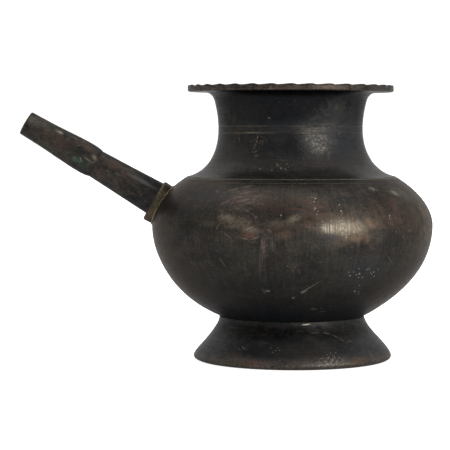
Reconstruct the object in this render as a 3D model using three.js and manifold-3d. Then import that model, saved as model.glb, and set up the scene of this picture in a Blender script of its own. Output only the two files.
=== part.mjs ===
// A spouted bronze water pot: a turned bowl on a flared foot ring, a flanged neck with a notched
// rim ring, and a tapered spout of two tubes on a collar. Millimetres, +Z up, spout along -X.
// Each turned piece is a closed profile, and neighbours share the same curves and values.
import * as THREE from 'three'
import { mergeVertices } from 'three/addons/utils/BufferGeometryUtils.js'
import Module from 'manifold-3d'

// Foot ring
const foot_height = 22.6
const foot_radius = 50.7
const foot_edge_height = 2.3
const foot_rest_radius = 46
const foot_rest_width = 2.2
const foot_top_radius = 37.2
const foot_wall = 2
const foot_toe_rise = 3.7
const foot_waist_drop = 6.4
const foot_waist_lean = 0.2

// Bowl: two superellipse quarters that meet at the widest place
const belly_radius = 71.8
const belly_depth = 54.3
const belly_rise = 38.7
const lower_fullness = 1.97
const upper_fullness = 1.9
const bowl_wall = 1.8
const shoulder_line_rise = 24.9
const shoulder_ring_drop = 2

// Neck: flares down to the shoulder line and up to a flat lip flange
const throat_rise = 24.2
const throat_radius = 36.9
const lip_rise = 18.9
const lip_root_radius = 39.8
const lip_root_fillet = 5.3
const flange_radius = 50.3
const neck_wall = 1.5
const neck_flare_run = 8.5
const neck_flare_angle = 11.4
const neck_lower_handle = 14.7
const neck_upper_handle = 5.9
const neck_lip_handle = 9
const neck_lip_angle = 77.7
const upper_line_rise = 1.3
const lower_line_drop = 2.15

// Lap joint of the neck over the bowl
const lap_length = 5.2
const lap_wall = 1.2
const lap_joggle = 4

// Rim ring round the flange, with a rope edge of slanted lobes
const rim_radius = 52.6
const rim_cover = 1.1
const rim_width = 4
const rim_edge = 0.5
const rim_under_edge = 0.8
const lobe_count = 34
const lobe_height = 0.85
const lobe_depth = 0.35
const lobe_lean = 0.1
const lobe_crest = 0.58
const first_lobe_angle = -91.9

// Spout
const spout_angle = 30.4
const spout_rise = 12
const spout_length = 79.5
const spout_joint = 38
const spout_stub = 5
const spout_wall = 1
const root_base_diameter = 18
const root_end_diameter = 14.5
const tip_mouth_diameter = 12.7
const tip_taper_diameter = 15.5
const tip_stop_diameter = 14.7
const tip_swell = 1.5
const tip_swell_length = 30
const tip_swell_crest = 0.15
const tip_swell_fade = 0.66
const spigot_length = 8
const mouth_round = 0.4
const collar_diameter = 22.3
const collar_drop = 1.05
const collar_thickness = 3.2
const collar_round = 1

// Brazed seams, engraved lines and clearances
const seam_width = 0.5
const lap_gap = 0.3
const foot_seam = 0.3
const foot_seam_recess = 0.5
const foot_fillet = 1.4
const braze_thickness = 0.6
const braze_overhang = 0.4
const engraved_width = 0.6
const engraved_depth = 0.25
const cut_gap = 0.3
const rim_gap = 0.3

// Facets round each turning, and points along each curve of a profile
const turn_steps = 44
const tube_steps = 24
const lobe_steps = 4
const toe_steps = 3
const foot_steps = 8
const under_steps = 8
const over_steps = 6
const inside_steps = 7
const flare_steps = 6
const lip_steps = 3
const swell_steps = 5
const collar_round_steps = 2
const bottom_steps = 3

const wasm = await Module()
wasm.setup()

const radians = THREE.MathUtils.degToRad
const at = (radius, height) => new THREE.Vector2(radius, height)
const heading = (degrees) => at(Math.cos(radians(degrees)), Math.sin(radians(degrees)))

// A finish for each family of metal
const finish = (color, roughness) => new THREE.MeshStandardMaterial({ color, roughness, metalness: 0.85 })
const dark_bronze = finish(0x2b2826, 0.5)
const brown_bronze = finish(0x3a2c26, 0.55)
const brass_braze = finish(0x7c6a3c, 0.5)

// A closed surface with shared corners and no empty faces
function welded(geometry) {
  const bare = geometry.clone()
  bare.deleteAttribute('normal')
  bare.deleteAttribute('uv')
  const merged = mergeVertices(bare, 1e-3)
  const corners = merged.index.array
  const kept = []
  for (let i = 0; i < corners.length; i += 3) {
    const [a, b, c] = corners.slice(i, i + 3)
    if (a !== b && b !== c && c !== a) kept.push(a, b, c)
  }
  merged.setIndex(kept)
  return merged
}

// Twice the area inside a profile, positive when it runs anticlockwise
function windingOf(points) {
  return points.reduce((sum, p, i) => sum + p.cross(points[(i + 1) % points.length]), 0)
}

// A profile of (radius, height) turned about +Z; it closes on itself or on the axis
function turned(points, steps = turn_steps) {
  const ordered = windingOf(points) > 0 ? [...points] : [...points].reverse()
  const on_axis = ordered.some((p) => p.x === 0)
  if (!on_axis) ordered.push(ordered[0].clone())
  while (on_axis && !(ordered[0].x === 0 && ordered[ordered.length - 1].x === 0)) {
    ordered.push(ordered.shift())
  }
  return welded(new THREE.LatheGeometry(ordered, steps).rotateX(Math.PI / 2))
}

// The same line moved square to itself, towards its left for a positive distance
function beside(points, distance) {
  return points.map((p, i) => {
    const before = points[Math.max(i - 1, 0)]
    const after = points[Math.min(i + 1, points.length - 1)]
    const along = after.clone().sub(before).normalize()
    return at(p.x - along.y * distance, p.y + along.x * distance)
  })
}

function radiusAt(points, height) {
  const i = points.findIndex((p, k) => k > 0 && (p.y - height) * (points[k - 1].y - height) <= 0)
  const [low, high] = [points[i - 1], points[i]]
  return THREE.MathUtils.lerp(low.x, high.x, (height - low.y) / (high.y - low.y))
}

// A V-shaped engraved line cut into a rising outline at one height
function engraved(points, height) {
  const half = engraved_width / 2
  const line = [-half, 0, half].map((dz) => {
    const depth = dz === 0 ? engraved_depth : 0
    return at(radiusAt(points, height + dz) - depth, height + dz)
  })
  const below = points.filter((p) => p.y < height - half)
  const above = points.filter((p) => p.y > height + half)
  return [...below, ...line, ...above]
}

// Bowl outline
const quarterHeight = (share, fullness) => (1 - share ** fullness) ** (1 / fullness)
const seat_drop = belly_depth * quarterHeight(foot_top_radius / belly_radius, lower_fullness)
const belly_height = foot_height + foot_seam + seat_drop
const shoulder_height = belly_height + shoulder_line_rise

const undersideHeight = (radius) =>
  belly_height - belly_depth * quarterHeight(radius / belly_radius, lower_fullness)
const shoulderRadius = (height) =>
  belly_radius * quarterHeight((height - belly_height) / belly_rise, upper_fullness)
const shoulderHeight = (radius) =>
  belly_height + belly_rise * quarterHeight(radius / belly_radius, upper_fullness)

// Points along a quarter from one radius to another, evenly spread in angle
function quarter(from_radius, to_radius, steps, fullness, heightOf) {
  const angleOf = (radius) => Math.acos(Math.min(1, radius / belly_radius) ** (fullness / 2))
  const [start, end] = [angleOf(from_radius), angleOf(to_radius)]
  return Array.from({ length: steps + 1 }, (_, i) => {
    const angle = THREE.MathUtils.lerp(start, end, i / steps)
    const radius = i === steps ? to_radius : belly_radius * Math.max(0, Math.cos(angle)) ** (2 / fullness)
    return i === 0 ? at(from_radius, heightOf(from_radius)) : at(radius, heightOf(radius))
  })
}
const lower = (from, to, steps) => quarter(from, to, steps, lower_fullness, undersideHeight)
const upper = (from, to, steps) => quarter(from, to, steps, upper_fullness, shoulderHeight)

// Foot seat: where the foot's top edge and its fillet meet the bowl
const seat_inner = foot_top_radius - foot_wall
const seat_fillet = seat_inner - foot_fillet

// Shoulder line and the directions along and into the neck there
const shoulder_radius = shoulderRadius(shoulder_height)
const shoulder = at(shoulder_radius, shoulder_height)
const flare_along = heading(180 - neck_flare_angle)
const flare_inward = heading(-90 - neck_flare_angle)

// Neck outline, from the shoulder line to the throat, the lip root and the flange
const throat_height = shoulder_height + throat_rise
const flange_underside = throat_height + lip_rise
const lip_heading = heading(neck_lip_angle)
const lip_root = at(lip_root_radius, flange_underside)
const lip_start = lip_root.clone().addScaledVector(lip_heading, -lip_root_fillet)
const neck_lower = new THREE.CubicBezierCurve(
  shoulder,
  shoulder.clone().addScaledVector(flare_along, neck_flare_run),
  at(throat_radius, throat_height - neck_lower_handle),
  at(throat_radius, throat_height),
)
const neck_upper = new THREE.CubicBezierCurve(
  at(throat_radius, throat_height),
  at(throat_radius, throat_height + neck_upper_handle),
  lip_start.clone().addScaledVector(lip_heading, -neck_lip_handle + lip_root_fillet),
  lip_start,
)
const lip_end = at(lip_root_radius + lip_root_fillet, flange_underside)
const lip_fillet = new THREE.QuadraticBezierCurve(lip_start, lip_root, lip_end)

const lap_share = lap_length / neck_lower.getLength()
const lap_shares = [0, lap_share / 2, lap_share]
const flare_shares = Array.from({ length: flare_steps }, (_, i) =>
  THREE.MathUtils.lerp(lap_share, 1, (i + 1) / flare_steps))
const neck_outline = [
  ...[...lap_shares, ...flare_shares].map((share) => neck_lower.getPointAt(share)),
  ...neck_upper.getPoints(lip_steps).slice(1),
  ...lip_fillet.getPoints(lip_steps).slice(1),
  at(flange_radius, flange_underside),
]

// The start of the neck's outline, moved inwards to any depth of the lap
function lapLine(depth) {
  const line = neck_outline.slice(0, lap_shares.length)
  const inside = beside(neck_outline, depth).slice(0, lap_shares.length)
  inside[0] = line[0].clone().addScaledVector(flare_inward, depth)
  return inside
}

function neckProfile() {
  const inside = beside(neck_outline, neck_wall)
  inside[0] = lapLine(neck_wall)[0]
  const upper_line = throat_height + upper_line_rise
  const lower_line = throat_height - lower_line_drop
  const outside = engraved(engraved(neck_outline, lower_line), upper_line)
  return [...outside, ...inside.reverse()]
}

// The bowl's top corner stands one seam's width outside the shoulder line
const corner_radius = shoulder_radius + seam_width
const bowl_corner = at(corner_radius, shoulderHeight(corner_radius))
const shelf_inner = bowl_corner.clone().addScaledVector(flare_inward, neck_wall + lap_gap)

function bowlOutline() {
  const under = [
    ...lower(0, seat_fillet, bottom_steps),
    at(seat_inner, undersideHeight(seat_inner)),
    ...lower(foot_top_radius, belly_radius, under_steps),
  ]
  const over = upper(belly_radius, corner_radius, over_steps)
  return [...under, ...engraved(over, bowl_corner.y - shoulder_ring_drop).slice(1)]
}

function bowlProfile() {
  const tongue_outside = lapLine(neck_wall + lap_gap)
  const tongue_inside = lapLine(neck_wall + lap_gap + lap_wall)
  const core = [
    ...lower(0, belly_radius, inside_steps),
    ...upper(belly_radius, shoulder_radius + lap_joggle, over_steps - 1).slice(1),
  ]
  const inside = beside(core, bowl_wall)
  inside[0] = at(0, core[0].y + bowl_wall)
  return [
    ...bowlOutline(),
    shelf_inner,
    ...tongue_outside,
    ...tongue_inside.reverse(),
    ...inside.reverse(),
  ]
}

// The brazed lap: a thin layer between neck and tongue, seen outside as one fine line
function shoulderBrazeProfile() {
  const neck_side = lapLine(neck_wall)
  const tongue_side = lapLine(neck_wall + lap_gap)
  return [shoulder, ...neck_side, ...tongue_side.reverse(), shelf_inner, bowl_corner]
}

// Foot ring: a rounded toe, an ogee flare and a top edge that follows the bowl's underside
const foot_flare = new THREE.CubicBezierCurve(
  at(foot_radius, foot_edge_height),
  at(foot_radius, foot_edge_height + foot_toe_rise),
  at(foot_top_radius + foot_waist_lean, foot_height - foot_waist_drop),
  at(foot_top_radius, foot_height),
)
const foot_inner_corner = at(seat_inner, undersideHeight(seat_inner) - foot_seam)
const flare_outside = foot_flare.getPoints(foot_steps)
const flare_inside = beside(flare_outside, foot_wall).slice(2, -1)

function footProfile() {
  const reach = foot_radius - foot_rest_radius
  const toe = Array.from({ length: toe_steps }, (_, i) => {
    const side = heading(90 * (i / toe_steps - 1))
    return at(foot_rest_radius + reach * side.x, foot_edge_height * (1 + side.y))
  })
  const rest_inner = at(foot_rest_radius - foot_rest_width, 0)
  return [rest_inner, ...toe, ...flare_outside, foot_inner_corner, ...flare_inside.reverse()]
}

// The brazed seam under the bowl: set back from the foot's edge, with a fillet inside
function footBrazeProfile() {
  const across = foot_seam_recess / foot_wall
  const foot_edge = at(foot_top_radius, foot_height)
  const bowl_edge = at(foot_top_radius, undersideHeight(foot_top_radius))
  const bowl_inner = at(seat_inner, undersideHeight(seat_inner))
  const wall_next = flare_inside[0]
  const down_wall = wall_next.clone().sub(foot_inner_corner)
  down_wall.setLength(Math.min(foot_fillet, down_wall.length()))
  return [
    foot_edge.clone().lerp(foot_inner_corner, across),
    bowl_edge.clone().lerp(bowl_inner, across),
    bowl_inner,
    at(seat_fillet, undersideHeight(seat_fillet)),
    foot_inner_corner.clone().add(down_wall),
    foot_inner_corner,
  ]
}

// Rim ring: a rabbeted section carried round the flange, its crest a wave of leaning lobes
const flange_top = flange_underside + neck_wall
const rim_top = flange_top + rim_cover

// Height of the rope edge, 0 to 1: a slow rise to the crest and a steep fall after it
function lobe(turns) {
  const phase = turns - Math.floor(turns)
  const share = phase < lobe_crest ? phase / lobe_crest : (1 - phase) / (1 - lobe_crest)
  return share * share * (3 - 2 * share)
}

function rimSection(angle) {
  const turns = (lobe_count * (angle - radians(first_lobe_angle))) / (2 * Math.PI) + lobe_crest
  const outer = lobe(turns - lobe_lean)
  const top = lobe(turns)
  const inner = lobe(turns + lobe_lean)
  const rabbet = flange_radius + rim_gap
  return [
    at(rabbet, flange_underside),
    at(rim_radius - rim_under_edge, flange_underside),
    at(rim_radius, flange_underside + rim_under_edge),
    at(rim_radius - lobe_depth * (1 - outer), rim_top - rim_edge),
    at(rim_radius - lobe_depth * (1 - top) - rim_edge, rim_top + lobe_height * top),
    at(rabbet, rim_top + lobe_height * inner),
    at(rim_radius - rim_width, rim_top),
    at(rim_radius - rim_width, flange_top),
    at(rabbet, flange_top),
  ]
}

function ringOf(sectionAt, steps) {
  const positions = []
  for (let i = 0; i < steps; i++) {
    const angle = (2 * Math.PI * i) / steps
    sectionAt(angle).forEach((p) => positions.push(p.x * Math.cos(angle), p.x * Math.sin(angle), p.y))
  }
  const sides = positions.length / 3 / steps
  const corners = []
  for (let i = 0; i < steps; i++) {
    for (let k = 0; k < sides; k++) {
      const [next, up] = [(i + 1) % steps, (k + 1) % sides]
      const [a, b] = [i * sides + k, next * sides + k]
      const [c, d] = [next * sides + up, i * sides + up]
      corners.push(a, b, c, a, c, d)
    }
  }
  const geometry = new THREE.BufferGeometry()
  geometry.setAttribute('position', new THREE.Float32BufferAttribute(positions, 3))
  geometry.setIndex(corners)
  return geometry
}

// Spout axis: it starts on the bowl's outside and rises away along -X
const spout_root_height = belly_height + spout_rise
const spout_root = new THREE.Vector3(-shoulderRadius(spout_root_height), 0, spout_root_height)
const spout_place = new THREE.Matrix4()
  .makeTranslation(spout_root)
  .multiply(new THREE.Matrix4().makeRotationY(radians(spout_angle - 90)))
const root_radius = root_base_diameter / 2
const root_end_radius = root_end_diameter / 2
const spigot_radius = root_end_radius - spout_wall - cut_gap

function rootTubeProfile() {
  return [
    at(root_radius, -spout_stub),
    at(root_radius, 0),
    at(root_end_radius, spout_joint),
    at(root_end_radius - spout_wall, spout_joint),
    at(root_radius - spout_wall, 0),
    at(root_radius - spout_wall, -spout_stub),
  ]
}

// Tip tube: a spigot inside the root tube, a swollen stop that butts on it, and a long taper
function tipTubeProfile() {
  const stop = spout_joint + cut_gap
  const taper = (height) => {
    const share = (height - stop) / (spout_length - stop)
    return THREE.MathUtils.lerp(tip_taper_diameter, tip_mouth_diameter, share) / 2
  }
  const onTaper = (share, proud) => {
    const height = stop + share * tip_swell_length
    return at(taper(height) + proud, height)
  }
  const swell = new THREE.CubicBezierCurve(
    at(tip_stop_diameter / 2, stop),
    onTaper(tip_swell_crest, tip_swell),
    onTaper(tip_swell_fade, 0),
    onTaper(1, 0),
  ).getPoints(swell_steps)
  const mouth = tip_mouth_diameter / 2
  const bore = spigot_radius - spout_wall
  const inside = beside(swell, spout_wall).slice(1)
  return [
    at(spigot_radius, stop - spigot_length),
    at(spigot_radius, stop),
    ...swell,
    at(mouth, spout_length - mouth_round),
    at(mouth - mouth_round, spout_length),
    at(mouth - spout_wall, spout_length),
    ...inside.reverse(),
    at(bore, stop),
    at(bore, stop - spigot_length),
  ]
}

const solidOf = (geometry) => {
  const mesh = welded(geometry)
  return new wasm.Manifold(new wasm.Mesh({
    numProp: 3,
    vertProperties: mesh.attributes.position.array,
    triVerts: new Uint32Array(mesh.index.array),
  }))
}

const geometryOf = (solid) => {
  const mesh = solid.getMesh()
  const geometry = new THREE.BufferGeometry()
  geometry.setAttribute('position', new THREE.BufferAttribute(mesh.vertProperties, 3))
  geometry.setIndex(new THREE.BufferAttribute(mesh.triVerts, 1))
  return geometry
}

// The bowl's outside as a filled body, grown by a clearance
function grownBowl(clearance) {
  const outline = [
    ...lower(0, belly_radius, under_steps + bottom_steps),
    ...upper(belly_radius, corner_radius, over_steps).slice(1),
  ]
  const grown = beside(outline, -clearance)
  grown[0] = at(0, outline[0].y - clearance)
  return solidOf(turned([...grown, at(0, grown[grown.length - 1].y)]))
}

const placed = (geometry) => geometry.applyMatrix4(spout_place)

// The hole that clears the root tube through the bowl, the braze and the collar
function spoutHole() {
  const radius = root_radius + cut_gap
  const hole = new THREE.CylinderGeometry(radius, radius, 2 * collar_diameter, tube_steps)
  return solidOf(placed(hole.rotateX(Math.PI / 2)))
}

// A bored disc, set a little low on the tube and deep enough to reach into the bowl
function ringRoundTube(diameter) {
  const radius = diameter / 2
  const round = at(radius - collar_round, collar_thickness - collar_round)
  const edge = Array.from({ length: collar_round_steps + 1 }, (_, i) =>
    round.clone().addScaledVector(heading((90 * i) / collar_round_steps), collar_round))
  const disc = turned([at(0, -radius), at(radius, -radius), ...edge, at(0, collar_thickness)], tube_steps)
  return solidOf(placed(disc.translate(-collar_drop, 0, 0))).subtract(spoutHole())
}

function boredBowl() {
  return geometryOf(solidOf(turned(bowlProfile())).subtract(spoutHole()))
}

function spoutCollar() {
  const ring = ringRoundTube(collar_diameter)
  return geometryOf(ring.subtract(grownBowl(2 * cut_gap + braze_thickness)))
}

function spoutBraze() {
  const ring = ringRoundTube(collar_diameter + 2 * braze_overhang)
  return geometryOf(ring.intersect(grownBowl(cut_gap + braze_thickness)).subtract(grownBowl(cut_gap)))
}

const pot = new THREE.Group()
function piece(name, geometry, material) {
  const mesh = new THREE.Mesh(geometry, material)
  mesh.name = name
  pot.add(mesh)
}

piece('foot_ring', turned(footProfile()), dark_bronze)
piece('foot_braze', turned(footBrazeProfile()), brass_braze)
piece('bowl', boredBowl(), dark_bronze)
piece('shoulder_braze', turned(shoulderBrazeProfile()), brass_braze)
piece('neck', turned(neckProfile()), dark_bronze)
piece('rim_ring', ringOf(rimSection, lobe_count * lobe_steps), dark_bronze)
piece('spout_braze', spoutBraze(), brass_braze)
piece('spout_collar', spoutCollar(), brass_braze)
piece('spout_root_tube', placed(turned(rootTubeProfile(), tube_steps)), brown_bronze)
piece('spout_tip_tube', placed(turned(tipTubeProfile(), tube_steps)), brown_bronze)

// The origin is the middle of the whole pot's footprint, on the surface it stands on
const extent = new THREE.Box3().setFromObject(pot)
const middle = extent.getCenter(new THREE.Vector3())
pot.position.set(-middle.x, -middle.y, -extent.min.z)

export default pot
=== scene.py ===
"""A spouted bronze water pot, dressed over its CAD frame: turned shells, a rope-edged rim ring
and a spout of two tubes on a brazed collar, in a worn dark patina. Metres, +Z up, spout to -X."""
import math

import bmesh
import bpy
from mathutils import Euler, Matrix, Vector, geometry, noise


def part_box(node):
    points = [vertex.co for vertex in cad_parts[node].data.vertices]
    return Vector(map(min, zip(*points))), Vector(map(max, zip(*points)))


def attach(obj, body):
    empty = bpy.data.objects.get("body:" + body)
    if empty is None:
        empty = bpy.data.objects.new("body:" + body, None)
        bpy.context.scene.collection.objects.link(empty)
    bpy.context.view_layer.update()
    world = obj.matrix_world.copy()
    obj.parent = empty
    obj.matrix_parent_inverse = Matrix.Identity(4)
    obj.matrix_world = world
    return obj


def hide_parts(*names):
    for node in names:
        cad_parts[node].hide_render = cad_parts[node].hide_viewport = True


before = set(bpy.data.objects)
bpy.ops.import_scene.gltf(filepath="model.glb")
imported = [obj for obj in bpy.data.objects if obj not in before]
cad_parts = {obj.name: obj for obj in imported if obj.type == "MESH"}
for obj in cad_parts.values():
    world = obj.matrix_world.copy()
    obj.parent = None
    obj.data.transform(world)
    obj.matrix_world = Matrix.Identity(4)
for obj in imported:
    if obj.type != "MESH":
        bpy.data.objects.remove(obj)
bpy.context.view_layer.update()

# Lengths below are millimetres, on the same values as the CAD model
MM = 0.001

# Foot ring
FOOT_HEIGHT = 22.6
FOOT_RADIUS = 50.7
FOOT_EDGE_HEIGHT = 2.3
FOOT_REST_RADIUS = 46
FOOT_REST_WIDTH = 2.2
FOOT_TOP_RADIUS = 37.2
FOOT_WALL = 2
FOOT_TOE_RISE = 3.7
FOOT_WAIST_DROP = 6.4
FOOT_WAIST_LEAN = 0.2
FOOT_SEAM = 0.3
FOOT_SEAM_RECESS = 0.5
FOOT_FILLET = 1.4
# Softened top edge, as (outwards, up) from the corner; turn of each step round the toe, in degrees
FOOT_TOP_EDGE = ((0, -0.25), (-0.08, -0.05), (-0.3, 0))
TOE_TURN = 9
# Steps of the flare that the foot's inside follows
FOOT_INSIDE = slice(6, -3)

# Bowl
BELLY_RADIUS = 71.8
BELLY_DEPTH = 54.3
BELLY_RISE = 38.7
LOWER_FULLNESS = 1.97
UPPER_FULLNESS = 1.9
BOWL_WALL = 1.8
SHOULDER_LINE_RISE = 24.9
SHOULDER_RING_DROP = 2
SHELF_EDGE_SHARE = 0.12
SHELF_EDGE_DROP = 0.02

# Neck and the lap joint under it
THROAT_RISE = 24.2
THROAT_RADIUS = 36.9
LIP_RISE = 18.9
LIP_ROOT_RADIUS = 39.8
LIP_ROOT_FILLET = 5.3
FLANGE_RADIUS = 50.3
NECK_WALL = 1.5
NECK_FLARE_RUN = 8.5
NECK_FLARE_ANGLE = 11.4
NECK_LOWER_HANDLE = 14.7
NECK_UPPER_HANDLE = 5.9
NECK_LIP_HANDLE = 9
NECK_LIP_ANGLE = 77.7
UPPER_LINE_RISE = 1.3
LOWER_LINE_DROP = 2.15
LAP_LENGTH = 5.2
LAP_WALL = 1.2
LAP_JOGGLE = 4
LAP_GAP = 0.3
SEAM_WIDTH = 0.5
ENGRAVED_WIDTH = 0.6
ENGRAVED_SHARES = (-1, -0.6, -0.25, 0.25, 0.6, 1)
WORN_DEPTH = 0.13

# Rim ring
RIM_RADIUS = 52.6
RIM_COVER = 1.1
RIM_WIDTH = 4
# Edges of the section, as (inset, rise) from the underside and (inset, drop) from the top
RIM_LOWER_EDGE = (
    (0.95, 0), (0.5, 0.14), (0.16, 0.48), (0, 0.95), (0.03, 1.2), (0.13, 1.4), (0.13, 1.55), (0.02, 1.8),
)
RIM_UPPER_EDGE = ((0, 0.4), (0.1, 0.16), (0.35, 0.03), (0.7, 0), (1.2, 0), (1.8, 0), (2.3, 0.06))
RIM_INNER_EDGE = ((0.9, 0.1), (0.3, 0.16), (0.06, 0.3), (0, 0.5))
LOBE_COUNT = 34
LOBE_DEPTH = 0.35
LOBE_LEAN = 0.1
LOBE_CREST = 0.58
FIRST_LOBE_ANGLE = -91.9
HOLLOW_FILL = 0.55

# Spout
SPOUT_ANGLE = 30.4
SPOUT_RISE = 12
SPOUT_LENGTH = 79.5
SPOUT_JOINT = 38
SPOUT_STUB = 5
SPOUT_WALL = 1
ROOT_RADIUS = 9
ROOT_END_RADIUS = 7.25
MOUTH_RADIUS = 6.35
TAPER_RADIUS = 7.75
STOP_RADIUS = 7.35
TIP_SWELL = 1.5
TIP_SWELL_LENGTH = 30
TIP_SWELL_CREST = 0.15
TIP_SWELL_FADE = 0.66
SPIGOT_LENGTH = 8
SPIGOT_CLEARANCE = 0.3
STOP_GAP = 0.05
STOP_EDGE = 0.15
# Steps of the swelling, from its start, that have no wall of their own behind them
SPIGOT_STEPS = 3
MOUTH_ROUND = 0.6
MOUTH_ROUND_ANGLES = (20, 45, 70, 90)
BORE_BEVEL = 0.2
COLLAR_RADIUS = 11.15
COLLAR_DROP = 1.05
COLLAR_THICKNESS = 3.2
COLLAR_ROUND = 1.2
COLLAR_ROUND_ANGLES = (0, 18, 36, 54, 72, 90)
COLLAR_BITE = 0.2
COLLAR_FOOT_EDGE = 0.25
COLLAR_FOOT = -13
COLLAR_LIFT = 0.6
BRAZE_OVERHANG = 0.4
BRAZE_FOOT = -14
BRAZE_SINK = 0.15
BRAZE_RIPPLE = 0.07
BRAZE_RIPPLE_SIZE = 2.2
# The bead's outside, as (inset, rise)
BRAZE_BEAD = ((0.05, 0), (0, 0.25), (0.12, 0.55), (0.45, 0.8))
SPOUT_HOLE_GAP = 0.05
# Radius outside which the collar and its bead are set low, past the root tube's
LOWERED_FROM = 0.5
# Where along its axis the spout may meet the bowl, and how finely that is sought
SADDLE_REACH = (-16.0, 6.0)
SADDLE_HALVINGS = 30

# How far hand work strays from the turned form, always inwards
DENT = 0.10
DENT_SIZE = 34
DENT_SEED = Vector((3.1, 7.4, 1.2))
RIM_TILT = 0.3
# A step too small to see, which keeps two heights apart
SLIVER = 0.01

# Steps round each turning
TURN_STEPS = 192
TUBE_STEPS = 72
LOBE_STEPS = 12

# Steps along the outlines
FOOT_STEPS = 44
BOTTOM_STEPS = 18
BELLY_STEPS = 44
INSIDE_LOW_STEPS = 36
INSIDE_HIGH_STEPS = 18
FLARE_STEPS = 40
THROAT_STEPS = 20
LIP_STEPS = 8
SWELL_STEPS = 16
TAPER_STEPS = 12

POT_AXIS = sum(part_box("rim_ring"), Vector()) / 2
POT_AXIS.z = 0
RIM_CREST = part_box("rim_ring")[1].z / MM


def at(radius, height):
    return Vector((radius, 0, height))


def heading(degrees):
    return at(math.cos(math.radians(degrees)), math.sin(math.radians(degrees)))


def smooth(share):
    share = min(1, max(0, share))
    return share * share * (3 - 2 * share)


def bezier(points, steps):
    return geometry.interpolate_bezier(*points, steps + 1)


def beside(points, distance):
    """The same line moved square to itself, towards its left for a positive distance."""
    moved = []
    for i, point in enumerate(points):
        along = (points[min(i + 1, len(points) - 1)] - points[max(i - 1, 0)]).normalized()
        moved.append(point + at(-along.z, along.x) * distance)
    return moved


def radius_at(points, height):
    for low, high in zip(points, points[1:]):
        if low.z != high.z and (low.z - height) * (high.z - height) <= 0:
            return low.x + (high.x - low.x) * (height - low.z) / (high.z - low.z)
    return points[-1].x


def engraved(points, height):
    """A rising outline with a worn, round-bottomed line cut into it at one height."""
    half = ENGRAVED_WIDTH / 2
    groove = []
    for share in ENGRAVED_SHARES:
        z = height + share * half
        depth = WORN_DEPTH * (1 - smooth(abs(share)))
        groove.append(at(radius_at(points, z) - depth, z))
    below = [p for p in points if p.z < height - half]
    above = [p for p in points if p.z > height + half]
    return below + groove + above


# Outlines of the bowl
def quarter_height(share, fullness):
    return max(0, 1 - share ** fullness) ** (1 / fullness)


seat_drop = BELLY_DEPTH * quarter_height(FOOT_TOP_RADIUS / BELLY_RADIUS, LOWER_FULLNESS)
belly_height = FOOT_HEIGHT + FOOT_SEAM + seat_drop
shoulder_height = belly_height + SHOULDER_LINE_RISE


def underside_height(radius):
    return belly_height - BELLY_DEPTH * quarter_height(radius / BELLY_RADIUS, LOWER_FULLNESS)


def topside_height(radius):
    return belly_height + BELLY_RISE * quarter_height(radius / BELLY_RADIUS, UPPER_FULLNESS)


def belly_radius_at(height):
    if height < belly_height:
        return BELLY_RADIUS * quarter_height((belly_height - height) / BELLY_DEPTH, LOWER_FULLNESS)
    return BELLY_RADIUS * quarter_height((height - belly_height) / BELLY_RISE, UPPER_FULLNESS)


def quarter(start, end, steps, fullness, height_of):
    """Points on one quarter of the belly between two radii, evenly spread in angle."""
    first, last = (math.acos(min(1, r / BELLY_RADIUS) ** (fullness / 2)) for r in (start, end))
    points = []
    for i in range(steps + 1):
        angle = first + (last - first) * i / steps
        radius = BELLY_RADIUS * max(0, math.cos(angle)) ** (2 / fullness)
        points.append(at(radius, height_of(radius)))
    points[0] = at(start, height_of(start))
    points[-1] = at(end, height_of(end))
    return points


def lower(start, end, steps):
    return quarter(start, end, steps, LOWER_FULLNESS, underside_height)


def upper(start, end, steps):
    return quarter(start, end, steps, UPPER_FULLNESS, topside_height)


# Shoulder line, and the outline of the neck above it
seat_inner = FOOT_TOP_RADIUS - FOOT_WALL
seat_fillet = seat_inner - FOOT_FILLET
shoulder = at(belly_radius_at(shoulder_height), shoulder_height)
flare_along = heading(180 - NECK_FLARE_ANGLE)
flare_inward = heading(-90 - NECK_FLARE_ANGLE)
throat_height = shoulder_height + THROAT_RISE
flange_underside = throat_height + LIP_RISE
flange_top = flange_underside + NECK_WALL
rim_top = flange_top + RIM_COVER
lip_heading = heading(NECK_LIP_ANGLE)
lip_root = at(LIP_ROOT_RADIUS, flange_underside)
lip_start = lip_root - lip_heading * LIP_ROOT_FILLET
lip_end = at(LIP_ROOT_RADIUS + LIP_ROOT_FILLET, flange_underside)

neck_outline = [
    *bezier((
        shoulder,
        shoulder + flare_along * NECK_FLARE_RUN,
        at(THROAT_RADIUS, throat_height - NECK_LOWER_HANDLE),
        at(THROAT_RADIUS, throat_height),
    ), FLARE_STEPS),
    *bezier((
        at(THROAT_RADIUS, throat_height),
        at(THROAT_RADIUS, throat_height + NECK_UPPER_HANDLE),
        lip_start - lip_heading * (NECK_LIP_HANDLE - LIP_ROOT_FILLET),
        lip_start,
    ), THROAT_STEPS)[1:],
    *bezier((
        lip_start,
        lip_start.lerp(lip_root, 2 / 3),
        lip_end.lerp(lip_root, 2 / 3),
        lip_end,
    ), LIP_STEPS)[1:],
    at(FLANGE_RADIUS, flange_underside),
]
lap_points = sum(1 for p in neck_outline if (p - shoulder).length <= LAP_LENGTH)


def lap_line(depth):
    """The start of the neck's outline, moved inwards to any depth of the lap."""
    inside = beside(neck_outline, depth)[:lap_points]
    inside[0] = shoulder + flare_inward * depth
    return inside


def neck_profile():
    outside = engraved(neck_outline, throat_height - LOWER_LINE_DROP)
    outside = engraved(outside, throat_height + UPPER_LINE_RISE)
    inside = beside(neck_outline, NECK_WALL)
    inside[0] = lap_line(NECK_WALL)[0]
    return outside + inside[::-1]


corner_radius = shoulder.x + SEAM_WIDTH
bowl_corner = at(corner_radius, topside_height(corner_radius))
shelf_inner = bowl_corner + flare_inward * (NECK_WALL + LAP_GAP)
shelf_edge = bowl_corner.lerp(shelf_inner, SHELF_EDGE_SHARE)


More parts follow.
